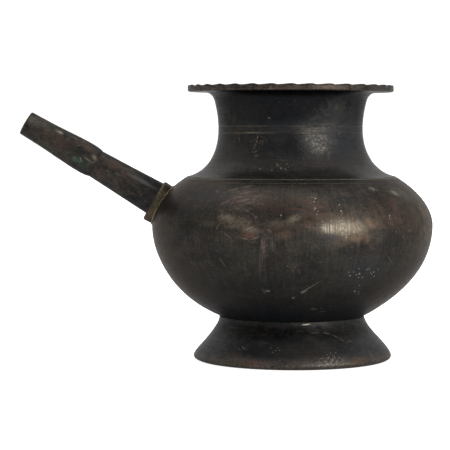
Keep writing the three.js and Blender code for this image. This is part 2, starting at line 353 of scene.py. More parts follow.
def bowl_profile():
    rise = upper(BELLY_RADIUS, corner_radius, BELLY_STEPS)
    outside = [
        *lower(0, FOOT_TOP_RADIUS, BOTTOM_STEPS),
        *lower(FOOT_TOP_RADIUS, BELLY_RADIUS, BELLY_STEPS)[1:],
        *engraved(rise[1:-1], bowl_corner.z - SHOULDER_RING_DROP),
        rise[-1] - at(0, SHELF_EDGE_DROP),
        shelf_edge,
    ]
    core = lower(0, BELLY_RADIUS, INSIDE_LOW_STEPS)
    core += upper(BELLY_RADIUS, shoulder.x + LAP_JOGGLE, INSIDE_HIGH_STEPS)[1:]
    inside = beside(core, BOWL_WALL)
    inside[0] = at(0, core[0].z + BOWL_WALL)
    tongue_outside = lap_line(NECK_WALL + LAP_GAP)
    tongue_inside = lap_line(NECK_WALL + LAP_GAP + LAP_WALL)
    return outside + [shelf_inner] + tongue_outside + tongue_inside[::-1] + inside[::-1]


def shoulder_braze_profile():
    neck_side = lap_line(NECK_WALL)
    tongue_side = lap_line(NECK_WALL + LAP_GAP)
    return [shoulder, *neck_side, *tongue_side[::-1], shelf_inner, shelf_edge]


foot_flare = bezier((
    at(FOOT_RADIUS, FOOT_EDGE_HEIGHT),
    at(FOOT_RADIUS, FOOT_EDGE_HEIGHT + FOOT_TOE_RISE),
    at(FOOT_TOP_RADIUS + FOOT_WAIST_LEAN, FOOT_HEIGHT - FOOT_WAIST_DROP),
    at(FOOT_TOP_RADIUS, FOOT_HEIGHT),
), FOOT_STEPS)
foot_inner_corner = at(seat_inner, underside_height(seat_inner) - FOOT_SEAM)
foot_inside = beside(foot_flare, FOOT_WALL)[FOOT_INSIDE]


def foot_profile():
    reach = FOOT_RADIUS - FOOT_REST_RADIUS
    toe = []
    for degrees in range(-90, 0, TOE_TURN):
        side = heading(degrees)
        toe.append(at(FOOT_REST_RADIUS + reach * side.x, FOOT_EDGE_HEIGHT * (1 + side.z)))
    rounded = [foot_flare[-1] + at(*offset) for offset in FOOT_TOP_EDGE]
    rest_inner = at(FOOT_REST_RADIUS - FOOT_REST_WIDTH, 0)
    return [rest_inner, *toe, *foot_flare[:-1], *rounded, foot_inner_corner, *foot_inside[::-1]]


def foot_braze_profile():
    across = FOOT_SEAM_RECESS / FOOT_WALL
    bowl_edge = at(FOOT_TOP_RADIUS, underside_height(FOOT_TOP_RADIUS))
    bowl_inner = at(seat_inner, underside_height(seat_inner))
    down_wall = (foot_inside[-1] - foot_inner_corner).normalized() * FOOT_FILLET
    return [
        foot_flare[-1].lerp(foot_inner_corner, across),
        bowl_edge.lerp(bowl_inner, across),
        bowl_inner,
        at(seat_fillet, underside_height(seat_fillet)),
        foot_inner_corner + down_wall,
        foot_inner_corner,
    ]


def rim_profile():
    """The ring's section in the hollow between two lobes."""
    inner = RIM_RADIUS - RIM_WIDTH
    return [
        at(FLANGE_RADIUS, flange_underside),
        *[at(RIM_RADIUS - inset, flange_underside + rise) for inset, rise in RIM_LOWER_EDGE],
        *[at(RIM_RADIUS - inset, rim_top - drop) for inset, drop in RIM_UPPER_EDGE],
        *[at(inner + inset, rim_top - drop) for inset, drop in RIM_INNER_EDGE],
        at(inner, flange_top),
        at(FLANGE_RADIUS, flange_top),
    ]


# The turned body's outside from foot to rim, which patches of its finish are placed on
body_outline = [
    *foot_flare,
    *lower(FOOT_TOP_RADIUS, BELLY_RADIUS, BELLY_STEPS),
    *upper(BELLY_RADIUS, shoulder.x, BELLY_STEPS)[1:],
    *neck_outline[1:],
    at(RIM_RADIUS, flange_underside + SLIVER),
    at(RIM_RADIUS, rim_top + 1),
]


# Turning
def spun(profile, steps=TURN_STEPS):
    """A closed profile of (radius, height) turned about +Z; both its ends may lie on the axis."""
    bm = bmesh.new()
    corners = [bm.verts.new(point * MM) for point in profile]
    pairs = list(zip(corners, corners[1:]))
    if profile[0].x > 0 or profile[-1].x > 0:
        pairs.append((corners[-1], corners[0]))
    edges = [bm.edges.new(pair) for pair in pairs]
    bmesh.ops.spin(
        bm, geom=corners + edges, cent=(0, 0, 0), axis=(0, 0, 1), dvec=(0, 0, 0),
        angle=math.tau, steps=steps, use_merge=True, use_duplicate=False,
    )
    bmesh.ops.remove_doubles(bm, verts=bm.verts, dist=1e-6)
    bmesh.ops.recalc_face_normals(bm, faces=bm.faces)
    return bm


# How far the hand-raised shells stray sideways, from the foot to the throat: (height, shift)
SWAY = [
    (0, 0.15), (9, 0.65), (19, 0.15), (29, -0.85), (52, 0), (belly_height, 0), (throat_height, -0.9),
    (RIM_CREST, -0.9),
]


def sway(height):
    for (low, first), (high, second) in zip(SWAY, SWAY[1:]):
        if height <= high:
            return first + (second - first) * smooth((height - low) / (high - low))
    return SWAY[-1][1]


def handmade(bm):
    """Puts a turned shell on the pot's axis, a little out of round, swayed, and tilted at the rim."""
    for vert in bm.verts:
        flat = Vector((vert.co.x, vert.co.y, 0))
        stray = noise.noise(vert.co / (DENT_SIZE * MM) + DENT_SEED)
        dent = DENT * MM * (0.5 + 0.5 * stray)
        if flat.length > dent:
            vert.co -= flat.normalized() * dent
        height = vert.co.z / MM
        lip_share = smooth((height - throat_height) / (flange_underside - throat_height))
        vert.co.x += sway(height) * MM
        vert.co.z -= RIM_TILT * MM * lip_share * (1 + vert.co.x / MM / RIM_RADIUS) / 2
    bmesh.ops.translate(bm, verts=bm.verts, vec=POT_AXIS)


def mesh_of(name, bm):
    mesh = bpy.data.meshes.new(name)
    bm.to_mesh(mesh)
    bm.free()
    return mesh


def piece(name, mesh, material, node, crease=34):
    """Shows a finished mesh in place of its CAD node."""
    mesh.materials.clear()
    mesh.materials.append(material)
    mesh.shade_smooth()
    mesh.set_sharp_from_angle(angle=math.radians(crease))
    made = bpy.data.objects.new(name, mesh)
    bpy.context.scene.collection.objects.link(made)
    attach(made, "root")
    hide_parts(node)
    return made


def cut_away(name, mesh, cutter):
    """The mesh less the cutter, as a new mesh."""
    pair = [bpy.data.objects.new(part, data) for part, data in ((name, mesh), (name + "_cut", cutter))]
    for part in pair:
        bpy.context.scene.collection.objects.link(part)
    body, tool = pair
    bore = body.modifiers.new("bore", "BOOLEAN")
    bore.operation = "DIFFERENCE"
    bore.solver = "EXACT"
    bore.object = tool
    bpy.context.view_layer.update()
    evaluated = body.evaluated_get(bpy.context.evaluated_depsgraph_get())
    result = bpy.data.meshes.new_from_object(evaluated)
    for part in pair:
        data = part.data
        bpy.data.objects.remove(part)
        bpy.data.meshes.remove(data)
    result.name = name
    return result


# The spout's own frame: +Z runs up the spout from the bowl's outside
spout_root = Vector((-belly_radius_at(belly_height + SPOUT_RISE), 0, belly_height + SPOUT_RISE))
spout_turn = Matrix.Rotation(math.radians(SPOUT_ANGLE - 90), 4, "Y")
spout_place = Matrix.Translation(spout_root * MM + POT_AXIS) @ spout_turn


def on_spout(bm):
    bmesh.ops.transform(bm, matrix=spout_place, verts=bm.verts)


def saddle(angle, radius):
    """How far along the spout's axis the bowl's outside lies, at one place round the spout."""
    start = Vector((radius * math.cos(angle), radius * math.sin(angle), 0))
    low, high = SADDLE_REACH
    for _ in range(SADDLE_HALVINGS):
        middle = (low + high) / 2
        point = spout_root + spout_turn @ (start + Vector((0, 0, middle)))
        if math.hypot(point.x, point.y) > belly_radius_at(point.z):
            high = middle
        else:
            low = middle
    return middle


def seated(bm, foot_below, lift):
    """Slides the lowest ring of a turned part down the spout's axis on to the bowl."""
    for vert in bm.verts:
        if vert.co.z < foot_below * MM:
            radius = math.hypot(vert.co.x, vert.co.y) / MM
            depth = saddle(math.atan2(vert.co.y, vert.co.x), radius)
            vert.co.z += (depth + lift) * MM - foot_below * MM


def lowered(bm):
    """Sets the outside of a part round the root tube a little low, its bore still round the tube."""
    for vert in bm.verts:
        if math.hypot(vert.co.x, vert.co.y) > (ROOT_RADIUS + LOWERED_FROM) * MM:
            vert.co.x -= COLLAR_DROP * MM


def root_tube_profile():
    base, end = at(ROOT_RADIUS, 0), at(ROOT_END_RADIUS, SPOUT_JOINT)
    return [
        at(ROOT_RADIUS, -SPOUT_STUB),
        *[base.lerp(end, i / TAPER_STEPS) for i in range(TAPER_STEPS + 1)],
        at(ROOT_END_RADIUS - SPOUT_WALL, SPOUT_JOINT),
        at(ROOT_RADIUS - SPOUT_WALL, 0),
        at(ROOT_RADIUS - SPOUT_WALL, -SPOUT_STUB),
    ]


def taper_at(height):
    share = (height - SPOUT_JOINT) / (SPOUT_LENGTH - SPOUT_JOINT)
    return TAPER_RADIUS + (MOUTH_RADIUS - TAPER_RADIUS) * share


def tip_tube_profile():
    stop = SPOUT_JOINT + STOP_GAP
    bulge, fade = (stop + TIP_SWELL_LENGTH * share for share in (TIP_SWELL_CREST, TIP_SWELL_FADE))
    swell_end = stop + TIP_SWELL_LENGTH
    swell = bezier((
        at(STOP_RADIUS, stop + STOP_EDGE),
        at(taper_at(bulge) + TIP_SWELL, bulge),
        at(taper_at(fade), fade),
        at(taper_at(swell_end), swell_end),
    ), SWELL_STEPS)
    top = SPOUT_LENGTH - MOUTH_ROUND
    taper = [at(MOUTH_RADIUS, top).lerp(swell[-1], i / TAPER_STEPS) for i in range(TAPER_STEPS - 1, -1, -1)]
    lip = [at(MOUTH_RADIUS - MOUTH_ROUND, top) + heading(a) * MOUTH_ROUND for a in MOUTH_ROUND_ANGLES]
    mouth_bore = MOUTH_RADIUS - SPOUT_WALL
    spigot = ROOT_END_RADIUS - SPOUT_WALL - SPIGOT_CLEARANCE
    inside = beside(swell, SPOUT_WALL)[SPIGOT_STEPS:]
    return [
        at(spigot, stop - SPIGOT_LENGTH),
        at(spigot, stop),
        at(STOP_RADIUS - STOP_EDGE, stop),
        *swell, *taper, *lip,
        at(mouth_bore + BORE_BEVEL, SPOUT_LENGTH),
        at(mouth_bore, top),
        *inside[::-1],
        at(spigot - SPOUT_WALL, stop),
        at(spigot - SPOUT_WALL, stop - SPIGOT_LENGTH),
    ]


def collar_profile():
    bore = ROOT_RADIUS - COLLAR_BITE
    middle = at(COLLAR_RADIUS - COLLAR_ROUND, COLLAR_THICKNESS - COLLAR_ROUND)
    return [
        at(bore, COLLAR_FOOT),
        at(COLLAR_RADIUS - COLLAR_FOOT_EDGE, COLLAR_FOOT),
        *[middle + heading(a) * COLLAR_ROUND for a in COLLAR_ROUND_ANGLES],
        at(bore, COLLAR_THICKNESS),
    ]


def braze_profile():
    """A low bead round the collar's foot: its outer side bulges past the collar."""
    radius = COLLAR_RADIUS + BRAZE_OVERHANG
    bead = [at(radius - inset, BRAZE_FOOT + rise) for inset, rise in BRAZE_BEAD]
    return [at(ROOT_RADIUS, BRAZE_FOOT), *bead, at(ROOT_RADIUS, bead[-1].z)]


# Finishes
RAGGEDNESS = 4.5
CHIP_RAGGEDNESS = 0.7
CHIP_EDGE = 0.8
SHEEN_AT_EDGES = (0.55, 0.55, 0.55)
WARM_SHEEN = (0.555, 0.525, 0.505)
# Sockets of the Mix node that belong to colours
MIX_SHARE, MIX_FIRST, MIX_SECOND, MIX_COLOUR = 0, 6, 7, 2


class Flow:
    """One socket of a finish. Arithmetic on it adds Math nodes, or Vector Math nodes on a vector."""

    def __init__(self, finish, socket):
        self.finish, self.socket = finish, socket

    def joined(self, operation, *values):
        kind = "VectorMath" if self.socket.type == "VECTOR" else "Math"
        return self.finish.node(kind, {"operation": operation}, dict(enumerate(values)))

    def __add__(self, other):
        return self.joined("ADD", self, other)

    def __sub__(self, other):
        return self.joined("SUBTRACT", self, other)

    def __rsub__(self, other):
        return self.joined("SUBTRACT", other, self)

    def __mul__(self, other):
        return self.joined("MULTIPLY", self, other)

    def __truediv__(self, other):
        return self.joined("DIVIDE", self, other)

    def __rtruediv__(self, other):
        return self.joined("DIVIDE", other, self)

    __radd__ = __add__
    __rmul__ = __mul__


class Finish:
    """A material on the Principled shader, with coordinates in millimetres about one centre.

    Its two grains, fine and wide, make the edges of its patches ragged."""

    metal = 0.85

    def __init__(self, name, centre, sheen=SHEEN_AT_EDGES):
        self.strays = {}
        self.material = bpy.data.materials.new(name)
        self.material.use_nodes = True
        self.tree = self.material.node_tree
        self.shader = self.tree.nodes["Principled BSDF"]
        self.shader.inputs["Metallic"].default_value = self.metal
        self.shader.inputs["Specular Tint"].default_value = (*sheen, 1)
        place = self.node("TexCoord", output="Object")
        self.place = self.node("Mapping", {"vector_type": "TEXTURE"}, {
            "Vector": place, "Location": tuple(centre), "Scale": (MM, MM, MM),
        })

    def feed(self, socket, value):
        if isinstance(value, Flow):
            self.tree.links.new(value.socket, socket)
        elif socket.type == "RGBA" and len(value) == 3:
            socket.default_value = (*value, 1)
        else:
            socket.default_value = value

    def node(self, kind, settings=None, inputs=None, output=0):
        made = self.tree.nodes.new("ShaderNode" + kind)
        for name, value in (settings or {}).items():
            setattr(made, name, value)
        for name, value in (inputs or {}).items():
            self.feed(made.inputs[name], value)
        return Flow(self, made.outputs[output])

    def axis(self, output):
        return self.node("SeparateXYZ", inputs={0: self.place}, output=output)

    def scaled(self, stretch, vector=None):
        return self.node("Mapping", {"vector_type": "POINT"}, {
            "Vector": vector or self.place, "Scale": stretch,
        })

    def cloud(self, size, detail=3, stretch=(1, 1, 1), vector=None, roughness=0.55):
        """Noise whose features are about one size across, or longer along a stretched axis."""
        source = self.scaled(tuple(1 / (size * s) for s in stretch), vector)
        return self.node("TexNoise", {"noise_dimensions": "3D"}, {
            "Vector": source, "Scale": 1.0, "Detail": detail, "Roughness": roughness,
        }, output="Fac")

    def between(self, value, low, high):
        """0 below one value and 1 above the other, with a soft step; falls where low is the larger."""
        return self.node("MapRange", {"interpolation_type": "SMOOTHSTEP"}, {
            "Value": value, "From Min": low, "From Max": high, "To Min": 0.0, "To Max": 1.0,
        })

    def facing(self, azimuth, tilt=0):
        """Coordinates across, into and up the surface at one bearing, turned by a tilt."""
        turn = (0, math.radians(tilt), math.radians(azimuth + 90))
        return self.node("Mapping", {"vector_type": "TEXTURE"}, {"Vector": self.place, "Rotation": turn})

    def off(self, value, level):
        """How far a value lies from one level, without sign."""
        return self.node("Math", {"operation": "ABSOLUTE"}, {0: value - level})

    def patch(self, centre, turn, size, edge=0.95, ragged=0.3, fine=False, grain=None):
        """A soft-edged ellipse on the surface: 1 in its middle and 0 outside."""
        offset = self.place - centre
        sides = []
        for axis, half in zip(Euler(turn).to_matrix().transposed(), size):
            reach = {0: offset, 1: tuple(axis / half)}
            sides.append(self.node("VectorMath", {"operation": "DOT_PRODUCT"}, reach, output="Value"))
        local = self.node("CombineXYZ", inputs=dict(enumerate(sides)))
        reach = self.node("VectorMath", {"operation": "LENGTH"}, {0: local}, output="Value")
        if ragged:
            grain = grain or (self.fine if fine else self.wide)
            reach = reach + self.stray(grain, RAGGEDNESS * ragged)
        return self.between(reach, 1.0, 1.0 - edge)

    def stray(self, grain, reach):
        """How far a ragged edge strays either way; made once for each grain and reach."""
        key = (grain.socket.node.name, reach)
        if key not in self.strays:
            self.strays[key] = (grain - 0.5) * reach
        return self.strays[key]

    def lay(self, share, tint):
        """Lays a tint over the colour so far, as strong as the share."""
        self.colour = self.node("Mix", {"data_type": "RGBA"}, {
            MIX_SHARE: share, MIX_FIRST: self.colour, MIX_SECOND: tint,
        }, output=MIX_COLOUR)

    def finished(self, rough, height, depth):
        bump = self.node("Bump", inputs={"Strength": 1.0, "Distance": depth * MM, "Height": height})
        self.feed(self.shader.inputs["Base Color"], self.colour)
        self.feed(self.shader.inputs["Roughness"], rough)
        self.feed(self.shader.inputs["Normal"], bump)
        return self.material


# Colours of the patina, as linear light
BLUE_BLACK = (0.0075, 0.0085, 0.0108)
SOOT = (0.0150, 0.0148, 0.0135)
COAL = (0.0035, 0.0036, 0.0038)
GREY_BLUE = (0.026, 0.029, 0.034)
OLIVE_BROWN = (0.034, 0.032, 0.026)
WARM_BROWN = (0.064, 0.047, 0.038)
MAUVE_BROWN = (0.068, 0.052, 0.047)
RED_BROWN = (0.060, 0.035, 0.027)
DEEP_RED = (0.046, 0.026, 0.020)
RUST_RED = (0.090, 0.042, 0.028)
# Pale bronze of worn places; also laid as painted highlight
BRONZE_WEAR_AND_HIGHLIGHT = (0.16, 0.125, 0.095)
PEWTER = (0.088, 0.085, 0.079)
TAN = (0.135, 0.088, 0.058)
PINK_BROWN = (0.120, 0.090, 0.080)
OCHRE = (0.105, 0.090, 0.065)
PALE_GREEN = (0.16, 0.165, 0.125)
CHALK = (0.30, 0.285, 0.24)
VERDIGRIS = (0.020, 0.036, 0.027)
BRIGHT_VERDIGRIS = (0.045, 0.085, 0.058)
GOLDEN = (0.150, 0.125, 0.065)
DULL_BRASS = (0.060, 0.050, 0.030)


class PotFinish(Finish):
    """A finish of the turned body. Its marks are placed by their bearing and their height."""

    def __init__(self, name, **look):
        super().__init__(name, POT_AXIS, **look)

    def spot(self, azimuth, height, size, tilt=0, depth=9, **edge):
        """A patch, its size given along and up."""
        bearing = math.radians(azimuth)
        radius = radius_at(body_outline, height)
        centre = (radius * math.cos(bearing), radius * math.sin(bearing), height)
        turn = (0, math.radians(tilt), bearing + math.pi / 2)
        return self.patch(centre, turn, (size[0], depth, size[1]), **edge)

    def reach(self, azimuth, height):
        """How far each point lies from one place on the body, out of round as it is."""
        bearing = math.radians(azimuth)
        out = radius_at(body_outline, height) + sway(height) * math.cos(bearing) - DENT / 2
        centre = (out * math.cos(bearing), out * math.sin(bearing), height)
        ends = {0: self.place, 1: centre}
        return self.node("VectorMath", {"operation": "DISTANCE"}, ends, output="Value")

    def chips(self, places):
        """Lays small round pale chips, ragged at the edge; each place is (bearing, height, radius)."""
        nearest = None
        for azimuth, height, radius in places:
            reach = self.reach(azimuth, height) / radius
            nearest = reach if nearest is None else nearest.joined("MINIMUM", nearest, reach)
        ragged = nearest + self.stray(self.fine, CHIP_RAGGEDNESS)
        self.lay(self.between(ragged, 1.0, 1.0 - CHIP_EDGE) * 0.85, CHALK)

    def scratches(self, marks, ragged=0.3):
        """Lays scratches one by one; each is (start, end, width, share, tint)."""
        for start, end, width, share, tint in marks:
            azimuth, height = (start[0] + end[0]) / 2, (start[1] + end[1]) / 2
            across = math.radians(end[0] - start[0]) * radius_at(body_outline, height)
            rise = end[1] - start[1]
            tilt = -math.degrees(math.atan2(rise, across))
            size = (math.hypot(across, rise) / 2, width / 2)
            stroke = self.spot(azimuth, height, size, tilt, edge=0.9, ragged=ragged, fine=True)
            self.lay(stroke * share, tint)


class TubeFinish(Finish):
    """A finish of a spout tube. Its marks are placed by how far up the spout they lie, and by their
    turn round it, upwards from the near side."""

    def __init__(self, name):
        super().__init__(name, spout_root * MM + POT_AXIS)

    def lengthwise(self):
        """Coordinates turned with the spout."""
        turn = tuple(spout_turn.to_euler())
        return self.node("Mapping", {"vector_type": "TEXTURE"}, {"Vector": self.place, "Rotation": turn})

    def spot(self, along, turn, size, tilt=0, depth=5, radius=8, **edge):
        """A patch, its size given along and round the spout."""
        bearing = math.radians(turn)
        local = Vector((radius * math.sin(bearing), -radius * math.cos(bearing), along))
        facing = Matrix.Rotation(bearing, 4, "Z")
        roll = Matrix.Rotation(math.radians(tilt), 4, "Y")
        rotation = (spout_turn @ facing @ roll).to_euler()
        return self.patch(tuple(spout_turn @ local), tuple(rotation), (size[1], depth, size[0]), **edge)


def patina(finish, cold, warm, wear=1.0):
    """The body's sooty, brown and blue-black mottling; cold and warm, each 0 to 1, shift it by region."""
    lay, between, cloud = finish.lay, finish.between, finish.cloud
    broad = cloud(24, 3)
    middle = cloud(7, 5, (1.6, 1.6, 0.8), roughness=0.62)
    fine = cloud(1.1, 4, roughness=0.7)
    tone = broad * 0.35 + middle * 0.40 + fine * 0.25
    stray = (tone - 0.5) * 3.2
    brushed = cloud(0.9, 5, (6, 6, 0.7), roughness=0.7)
    upright = cloud(1.0, 4, (0.7, 0.7, 6.0), roughness=0.65)
    finish.colour = SOOT
    lay(between(tone, 0.42, 0.58) * 0.8, OLIVE_BROWN)
    lay(between(stray + warm, 0.15, 0.85), WARM_BROWN)
    lay(between((middle - 0.5) * 2.6 + warm, 0.55, 1.05) * 0.65, RED_BROWN)
    lay(between(stray * -0.9 + cold, 0.15, 0.85), BLUE_BLACK)
    tinted = cloud(4.0, 5, (1.8, 1.8, 0.9), roughness=0.62)
    lay(between(tinted, 0.54, 0.64) * 0.30, GREY_BLUE)
    lay(between(tinted, 0.46, 0.36) * 0.30, DEEP_RED)
    lay(between(brushed, 0.50, 0.66) * (0.50 * wear), MAUVE_BROWN)
    lay(between(brushed, 0.46, 0.32) * 0.60, SOOT)
    lay(between(upright, 0.52, 0.68) * (0.25 * wear), MAUVE_BROWN)
    lay(between(fine, 0.54, 0.70) * (0.40 * wear), OCHRE)
    lay(between(fine, 0.46, 0.32) * 0.50, SOOT)
    lay(scoured(finish) * (0.65 * wear), BRONZE_WEAR_AND_HIGHLIGHT)
    grime = between(cloud(2.6, 5), 0.52, 0.72)
    return tone, fine, grime


def specks(finish, size, scarcity):
    """Tiny pale chips, in loose clusters."""
    cell = finish.node("TexVoronoi", {"feature": "F1"}, {
        "Vector": finish.scaled((1 / size, 1 / size, 1 / size)), "Scale": 1.0, "Randomness": 1.0,
    }, output="Distance")
    cluster = finish.between(finish.cloud(7, 2), 0.56, 0.72)
    chosen = finish.between(finish.cloud(size * 1.7, 1), scarcity, scarcity + 0.06)
    return finish.between(cell, 0.30, 0.16) * cluster * chosen


def turning_lines(finish, spacing, wander=60):
    """Fine level lines left by turning, a little broken round the pot."""
    return finish.cloud(spacing, 3, (wander, wander, 1))


def upright_chatter(finish, spacing, length):
    """Fine upright ripples round the belly."""
    flat = finish.node("VectorMath", {"operation": "MULTIPLY"}, {0: finish.place, 1: (1, 1, 0)})
    round_pot = finish.node("VectorMath", {"operation": "NORMALIZE"}, {0: flat})
    rise = finish.scaled((0, 0, 1 / BELLY_RADIUS))
    cylinder = finish.node("VectorMath", {"operation": "ADD"}, {0: round_pot, 1: rise})
    share = BELLY_RADIUS / spacing
    return finish.cloud(1.0, 2, (1 / share, 1 / share, length / BELLY_RADIUS), vector=cylinder)


def hairlines(finish, size, stretch, turn, width):
    """Thin broken scratches that run mostly along one direction, as 0 to 1."""
    turned = finish.node("Mapping", {"vector_type": "POINT"}, {"Vector": finish.place, "Rotation": turn})
    field = finish.cloud(size, 1, stretch, vector=turned)
    off_line = finish.off(field, 0.5)
    kept = finish.between(finish.cloud(size * 0.9, 3, vector=turned, roughness=0.7), 0.53, 0.62)
    return finish.between(off_line, width, 0.0) * kept


def scoured(finish):
    """Fine scratches left by years of scrubbing, in four directions."""
    return (
        hairlines(finish, 3.0, (5, 5, 0.8), (0.12, 0.05, 0.0), 0.022)
        + hairlines(finish, 2.6, (0.8, 0.8, 5), (0.35, 0.30, 0.4), 0.020)
        + hairlines(finish, 3.4, (1.0, 1.0, 4), (-0.75, -0.55, 1.1), 0.016)
        + hairlines(finish, 4.2, (1.4, 1.4, 1), (0.7, 0.2, 2.1), 0.012) * 0.8
    )


def neck_finish():
    finish = PotFinish("neck_patina")
    lay, spot, between, cloud = finish.lay, finish.spot, finish.between, finish.cloud
    height = finish.axis("Z")
    grain = finish.fine = cloud(1.1, 5, roughness=0.7)
    wide = finish.wide = cloud(3.5, 5, roughness=0.65)
    lines = turning_lines(finish, 0.55)
    flare = between(height, throat_height - 10, shoulder_height + 4)
    upper_part = between(height, throat_height - 1, throat_height + 8)
    left_side = spot(-150, 112, (26, 30), depth=20, edge=0.9, ragged=0)
    cold = upper_part * 0.90 + 0.26 - flare * 0.45
    tone, fine, grime = patina(finish, cold, flare * 0.10 + left_side * 0.34 - 0.02, 0.26 + flare * 0.40)
    blue_middle = spot(-90, 110, (9, 11), ragged=0.2)
    blue_left = spot(-104, 121, (8, 7), ragged=0.2)
    painted_blue_sheen = spot(-52, 108, (12, 16), depth=12, ragged=0.2)
    # Painted highlight: a pale glow where the key light reflects on the neck
    painted_highlight_glow = spot(-71.5, 110.5, (13, 12), depth=11)
    low_flare = between(height, 103, 97)
    painted_sheen_upper_right = spot(-54, 124, (17, 13), depth=14, ragged=0.35)
    # Scratched wear at the centre of the neck's highlight, laid pale as a painted highlight core
    core = spot(-72.0, 108.6, (5.5, 3.6), edge=0.9, ragged=0.8, fine=True)
    scribble = hairlines(finish, 2.0, (1, 1, 1.4), (0.3, 0.2, 0.1), 0.05)
    in_groove = (
        between(finish.off(height, throat_height + UPPER_LINE_RISE), 0.34, 0.10)
        + between(finish.off(height, throat_height - LOWER_LINE_DROP), 0.34, 0.10)
    )
    beside_groove = between(finish.off(height, throat_height - 0.4), 3.2, 1.2)
    worn_left = spot(-119.5, 111.5, (5.0, 6.5), depth=7, edge=0.7)
    # Tones by region
    lay(0.30 - upper_part * 0.22, GREY_BLUE)
    lay(flare * 0.28, MAUVE_BROWN)
    lay(low_flare * between(wide, 0.30, 0.62) * 0.50, PEWTER)
    lay(between(lines, 0.52, 0.72) * 0.35, GREY_BLUE)
    lay(between(lines, 0.46, 0.32) * 0.50, SOOT)
    lay(blue_middle * 0.75, BLUE_BLACK)
    lay(blue_left * 0.35, GREY_BLUE)
    # Painted sheen: a soft blue-grey band down the neck's right side
    lay(painted_blue_sheen * 0.55, GREY_BLUE)
    # Near black at the top of the neck under the flange: blue-black patina, and painted shade for the dark
    # floor it reflects
    lay(upper_part * (0.85 - left_side * 0.45), BLUE_BLACK)
    lay(upper_part * (between(wide, 0.40, 0.60) * 0.35 + 0.45), COAL)
    # Painted sheen: the right side of the neck's top made lighter, where the light falls from the right
    lay(painted_sheen_upper_right * 0.20, PEWTER)
    lay(between(grain, 0.56, 0.68) * 0.07, OCHRE)
    # Painted highlight glow, in pale grey
    lay(painted_highlight_glow * between(grain, 0.34, 0.62) * 0.55, PEWTER)
    lay(left_side * between(wide, 0.40, 0.60) * 0.75, OLIVE_BROWN)
    lay(spot(-122, 126, (18, 9), depth=14, ragged=0.4) * 0.35, SOOT)
    lay(left_side * between(grain, 0.54, 0.68) * 0.16, OCHRE)
    # Rubbed places on the painted highlight, its scuffed and painted core, and the two engraved lines
    lay(painted_highlight_glow * scribble * 0.8, BRONZE_WEAR_AND_HIGHLIGHT)
    lay(core * between(grain, 0.44, 0.60) * 0.85, PALE_GREEN)
    lay(core * scoured(finish), CHALK)
    lay(beside_groove * between(cloud(0.45, 3, (60, 60, 1)), 0.54, 0.70) * 0.10, OCHRE)
    lay(in_groove * between(cloud(16, 3), 0.38, 0.60) * 0.50, OCHRE)
    lay(worn_left * scribble, BRONZE_WEAR_AND_HIGHLIGHT)
    lay(worn_left * hairlines(finish, 1.5, (1, 1, 1.8), (0.1, 0.3, 0.2), 0.08), BRONZE_WEAR_AND_HIGHLIGHT)
    lay(worn_left * between(wide, 0.44, 0.60) * 0.35, OLIVE_BROWN)
    lay(worn_left * between(grain, 0.56, 0.68) * 0.4, OCHRE)
    # Scratches, chips and single marks
    finish.scratches(NECK_SCRATCHES, 0.40)
    finish.chips(NECK_CHIPS)
    lay(spot(-102.0, 100.2, (4.8, 3.4), edge=0.9)
        * between(grain, 0.50, 0.64) * 0.6, OCHRE)
    lay(spot(-109.8, 123.6, (0.8, 0.7), edge=0.9, ragged=0) * 0.45, PALE_GREEN)
    lay(spot(-56.0, 129.0, (2.6, 3.0), edge=0.9, ragged=0.4, fine=True)
        * between(grain, 0.46, 0.62) * 0.5, OCHRE)
    lay(specks(finish, 1.1, 0.60) * 0.45, CHALK)
    rough = 0.36 + tone * 0.14 + grime * 0.08 + painted_highlight_glow * 0.05 - between(lines, 0.4, 0.7) * 0.06
    height_map = lines * 0.7 + fine * 0.5 + grime * 0.2 + core * 0.3
    return finish.finished(rough, height_map, 0.10)


# Scratches as (start, end, width, share, tint), start and end each a bearing and a height
NECK_SCRATCHES = [
    ((-146.0, 116.2), (-133.0, 116.1), 1.1, 0.75, RUST_RED),
    ((-133.5, 116.3), (-114.5, 116.3), 0.6, 0.70, BRONZE_WEAR_AND_HIGHLIGHT),
    ((-86.5, 116.2), (-74.5, 116.0), 0.6, 0.60, BRONZE_WEAR_AND_HIGHLIGHT),
    ((-137.4, 115.2), (-134.8, 111.4), 1.0, 0.65, TAN),
    ((-118.6, 115.6), (-119.6, 112.4), 0.9, 0.80, BRONZE_WEAR_AND_HIGHLIGHT),
    ((-119.6, 111.6), (-122.6, 107.8), 1.0, 0.70, BRONZE_WEAR_AND_HIGHLIGHT),
    ((-116.4, 113.2), (-117.8, 109.8), 0.7, 0.50, TAN),
    ((-122.4, 106.2), (-116.8, 107.8), 0.9, 0.65, BRONZE_WEAR_AND_HIGHLIGHT),
    ((-112.8, 114.0), (-110.2, 110.2), 0.7, 0.40, BRONZE_WEAR_AND_HIGHLIGHT),
    ((-121.0, 104.8), (-116.0, 105.2), 1.5, 0.35, PALE_GREEN),
    ((-102.8, 101.4), (-100.6, 99.6), 0.8, 0.60, CHALK),
    ((-99.6, 99.6), (-98.6, 98.2), 1.1, 0.80, CHALK),
    ((-97.2, 99.2), (-94.8, 97.6), 0.9, 0.70, CHALK),
    ((-98.4, 103.6), (-97.4, 101.6), 0.7, 0.50, OCHRE),
]
NECK_CHIPS = [
    (-104.6, 98.0, 0.5), (-100.8, 97.6, 0.4), (-112.6, 98.6, 0.6), (-95.6, 101.2, 0.4), (-94.4, 99.4, 0.45),
]


